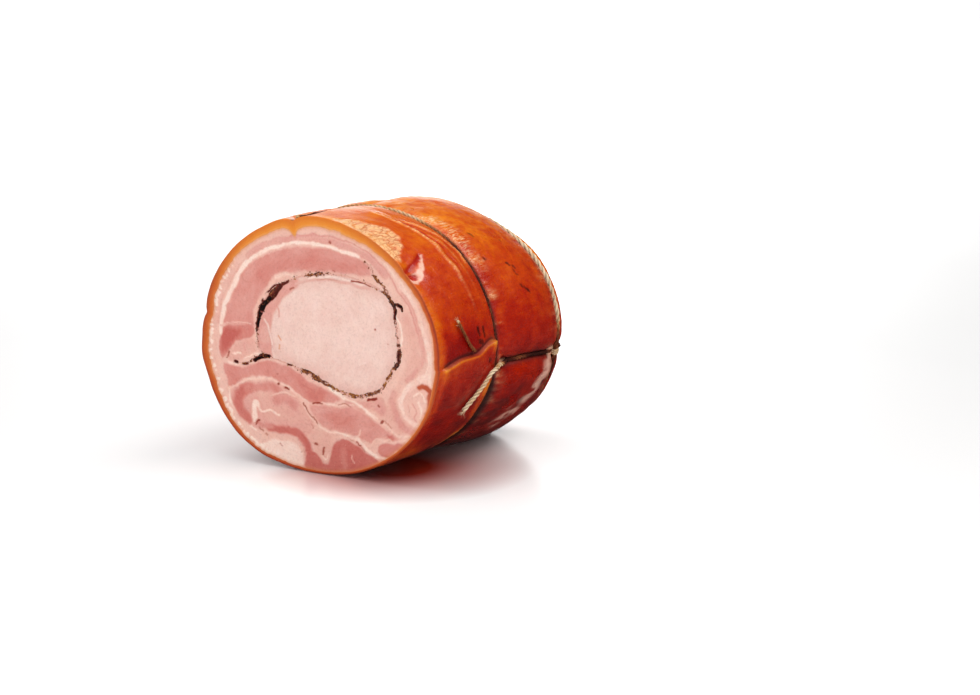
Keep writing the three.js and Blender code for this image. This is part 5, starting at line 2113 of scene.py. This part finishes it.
def make_rind():
    """Browned rind: from pale gold to dark red by how brown it is, darker towards the underside partly as
    painted shade, with fine streaks along the roll, pale wrinkles with painted highlights, painted glints,
    a patch of cells partly pale and partly painted highlight, a painted reflection low beside the end
    ring, painted shade in the creases, and a yellow to brown cut edge."""
    finish = Finish(
        "browned_rind", Specular_IOR_Level=0.42, Coat_Weight=0.12, Coat_Roughness=0.12,
    )
    blotch = finish.noise(13, 3, 0.55)
    mottle = finish.noise(4.5, 3, 0.6)
    speckle = finish.noise(2.2, 3, 0.65)
    pores = finish.noise(1.3, 2, 0.6)
    streaks = finish.noise(2.2, 2, 0.5, finish.stretched(1, 0.16, 1))
    lines = finish.noise(0.75, 3, 0.6, finish.stretched(1, 0.14, 1))
    groove = cell_grooves(finish)
    bare = finish.attribute("bare")
    crease = finish.attribute("crease")
    cut = finish.attribute("cut")
    tone = finish.attribute("brown") + 0.24 * (blotch - 0.5) + 0.22 * (mottle - 0.5)
    tone = tone + 0.18 * (streaks - 0.5) + 0.1 * (pores - 0.5) + 0.22 * (speckle - 0.5)
    colour = finish.ramp(tone, BROWN_COLOURS)
    # Painted highlights on the welts, ripples and gathers and on the ridge low before the end ring
    colour = finish.tinted(colour, finish.attribute("pale") * (0.6 + 1.1 * (mottle - 0.3)), 238, 168, 104)
    # The patch of cells: partly its own pale colour, partly painted highlight, broken by the cells'
    # grooves
    patch_pale_and_sheen = (bare * (1.1 - 0.85 * groove) * (0.55 + 0.9 * mottle)).clamped()
    colour = finish.tinted(colour, patch_pale_and_sheen * 0.9, 253, 196, 140)
    # Painted glints: fine pale lines behind the middle string, on the welts and on the gathers
    glint = (finish.attribute("streaked") * (lines * 7 - 3.2)).clamped()
    colour = finish.tinted(colour, glint * 0.9, 248, 208, 158)
    colour = finish.tinted(colour, finish.attribute("raw") * 0.85, 176, 22, 16)
    # The tear's pale skin, and the painted reflection low beside the end ring
    colour = finish.tinted(colour, finish.attribute("torn") * (0.5 + 0.9 * speckle), 238, 184, 162)
    # Painted shade in the creases under the strings and behind the flap's edge, with the browner blotches
    # low on the right side
    colour = finish.tinted(colour, crease * 0.93, 48, 10, 4)
    colour = finish.tinted(colour, finish.attribute("mark") * 0.9, 66, 12, 6)
    colour = finish.mix(cut, colour, cut_edge(finish, mottle))
    wet = finish.attribute("wet") + 0.3 * (blotch - 0.5)
    rough = 0.36 - 0.22 * wet + 0.2 * (mottle - 0.5) + 0.4 * crease + 0.2 * cut
    height = 0.45 * pores + 0.5 * streaks + 0.4 * mottle + 0.45 * lines - 0.7 * bare * groove
    finish.set(Base_Color=colour, Roughness=rough.clamped(), Normal=finish.bump(height, 0.55))


def make_twine():
    """Cotton twine: fibres finer than the strands, dark between the strands with painted shade, and
    stained brown by the juices where the stain is strong."""
    finish = Finish("butchers_twine", Specular_IOR_Level=0.2)
    crest = finish.attribute("crest")
    fibre = finish.noise(0.35, 2, 0.6)
    soaked = finish.noise(1.8, 3, 0.6)
    colour = finish.ramp(finish.attribute("stain") + 0.6 * (soaked - 0.45), STAIN_COLOURS)
    # Painted shade between the strands
    colour = finish.tinted(colour, (1 - crest) ** 1.6 * 0.8, 74, 28, 12)
    colour = finish.tinted(colour, (fibre - 0.55) * 1.2, 120, 70, 40)
    finish.set(
        Base_Color=colour, Roughness=0.5 + 0.3 * fibre, Normal=finish.bump(fibre + crest * 0.4, 0.12)
    )


def make_floor():
    """A glossy white floor. Near the roll it is painted dark red, a painted shadow and reflection of the
    roll, less and less with the distance from FLOOR_SHADE's middle. Far from it, it glows a little, so
    that it stays as white as the background."""
    finish = Finish("white_floor", Specular_IOR_Level=0.5, Emission_Strength=0.35)
    uneven = finish.noise(400, 1)
    white = finish.mix(uneven, (0.95, 0.94, 0.94, 1), (0.96, 0.96, 0.96, 1))
    away = finish.vector("SUBTRACT", finish.places, FLOOR_SHADE["middle"])
    away = finish.vector("MULTIPLY", away, tuple(1 / size for size in FLOOR_SHADE["size"]))
    # The painted shadow and dark red reflection of the roll on the floor
    stain = (1.75 - finish.length(away)) * 0.75
    far = (finish.length(finish.places) - 0.45) * 0.8
    finish.set(
        Base_Color=finish.tinted(white, stain, 172, 48, 30),
        Roughness=0.17 + 0.06 * uneven,
        Emission_Color=finish.mix(far, (0, 0, 0, 1), (1, 1, 1, 1)),
    )


# The pieces


def add_pieces():
    """Every piece: its surfaces, its finish, the node that it stands for, and its slot."""
    pieces = {
        "rind": ([rind_surface()], "browned_rind", "belly", "rind"),
        "belly_meat": ([belly_surface()], "cut_belly", "belly", "belly_meat"),
        "loin_meat": ([loin_surface()], "cut_loin", "loin", "loin_meat"),
        "herb_layer": (herb_layer(), "cooked_herbs", "herb_filling", "herbs"),
        "twine_round_middle": (middle_ring(), "butchers_twine", "twine_middle_ring", "twine"),
        "twine_round_end": (end_ring(), "butchers_twine", "twine_end_ring", "twine"),
        "twine_along_top": (over_top(), "butchers_twine", "twine_over_top", "twine"),
        "twine_along_sides": (round_side(), "butchers_twine", "twine_round_side", "twine"),
        "twine_thin_end": (thin_tail(), "butchers_twine", "twine_thin_tail", "twine"),
    }
    for name, (surfaces, finish, node, slot) in pieces.items():
        piece = mesh_piece(name, surfaces, finish)
        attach(piece, "root")
        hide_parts(node)


# The floor, the light and the camera


def add_floor():
    """A round white floor, at the foot of the part's box: two rings of faces and a middle one."""
    turns = np.linspace(0, 2 * np.pi, FLOOR_SIDES + 1)[:-1]
    circle = np.stack([np.cos(turns), np.sin(turns), 0 * turns], -1)
    places = np.concatenate([radius * circle for radius in FLOOR_RINGS])
    corners = np.arange(FLOOR_SIDES)
    ahead = (corners + 1) % FLOOR_SIDES
    ring = np.stack([corners, ahead, ahead + FLOOR_SIDES, corners + FLOOR_SIDES], -1)
    middle = corners + 2 * FLOOR_SIDES
    faces = [*ring.tolist(), *(ring + FLOOR_SIDES).tolist(), middle.tolist()]
    mesh = bpy.data.meshes.new("floor")
    mesh.from_pydata(places.tolist(), [], faces)
    mesh.update()
    mesh.materials.append(bpy.data.materials["white_floor"])
    floor = bpy.data.objects.new("floor", mesh)
    floor.visible_glossy = False
    bpy.context.scene.collection.objects.link(floor)


def add_sun(name, from_direction, strength, spread, tint):
    """A distant soft light: its direction, its strength, and how wide it is in degrees."""
    data = bpy.data.lights.new(name, "SUN")
    data.energy = strength
    data.angle = math.radians(spread)
    data.color = tint
    light = bpy.data.objects.new(name, data)
    light.rotation_mode = "QUATERNION"
    light.rotation_quaternion = Vector(from_direction).to_track_quat("Z", "Y")
    bpy.context.scene.collection.objects.link(light)


def add_world():
    """Soft light, brightest from the front and above, behind a white background. It goes by how
    far a direction leans towards LIGHT_LEAN: the dot product of the two. Shiny surfaces mirror a
    dark room with one bright side instead, towards MIRRORED_LEAN."""
    world = bpy.data.worlds.new("studio")
    nodes = Nodes(world)
    places = nodes.node("ShaderNodeTexCoord", {}, {}).outputs["Generated"]
    path = nodes.node("ShaderNodeLightPath", {}, {})

    def leaning(direction, light):
        inputs = {0: places, 1: direction}
        lean = nodes.node("ShaderNodeVectorMath", {"operation": "DOT_PRODUCT"}, inputs)
        stops = [(position, (amount, amount, amount, 1)) for position, amount in light]
        ramp = nodes.node("ShaderNodeValToRGB", {"stops": stops}, {0: lean.outputs["Value"]})
        return ramp.outputs[0]

    def chosen(ray, usual, instead):
        inputs = {0: path.outputs[ray], 6: usual, 7: instead}
        return nodes.node("ShaderNodeMix", {"data_type": "RGBA"}, inputs).outputs[2]

    all_round = leaning(LIGHT_LEAN, WORLD_LIGHT)
    mirrored = chosen("Is Glossy Ray", all_round, leaning(MIRRORED_LEAN, MIRRORED_LIGHT))
    seen = chosen("Is Camera Ray", mirrored, (1, 1, 1, 1))
    background = nodes.node("ShaderNodeBackground", {}, {"Color": seen})
    nodes.node("ShaderNodeOutputWorld", {}, {"Surface": background.outputs[0]})
    bpy.context.scene.world = world


def add_camera():
    """The camera stands so that the middle of the cut face falls on its pixel: from there back
    along its view, and aside by the pixel's distance from the middle of the picture."""
    turned = math.radians(CAMERA_AZIMUTH)
    raised = math.radians(CAMERA_ELEVATION)
    forward = Vector((
        -math.sin(turned) * math.cos(raised), math.cos(turned) * math.cos(raised), -math.sin(raised),
    ))
    right = Vector((math.cos(turned), math.sin(turned), 0))
    up = right.cross(forward)
    scale = CAMERA_DISTANCE / CAMERA_FOCUS
    aside = right * (FACE_PIXEL[0] - IMAGE[0] / 2) * scale
    above = up * (IMAGE[1] / 2 - FACE_PIXEL[1]) * scale
    data = bpy.data.cameras.new("camera")
    data.sensor_width = 36
    data.lens = CAMERA_FOCUS * data.sensor_width / IMAGE[0]
    camera = bpy.data.objects.new("camera", data)
    camera.matrix_world = Matrix((
        (*right, 0), (*up, 0), (*-forward, 0), (0, 0, 0, 1),
    )).transposed()
    camera.location = Vector(CENTRE) - forward * CAMERA_DISTANCE - aside - above
    bpy.context.scene.collection.objects.link(camera)
    bpy.context.scene.camera = camera


make_meats()
make_rind()
make_twine()
make_floor()
add_pieces()
add_floor()
add_world()
for sun_name, sun in SUNS.items():
    add_sun(sun_name, *sun)
add_camera()
bpy.context.scene.view_settings.view_transform = "Standard"
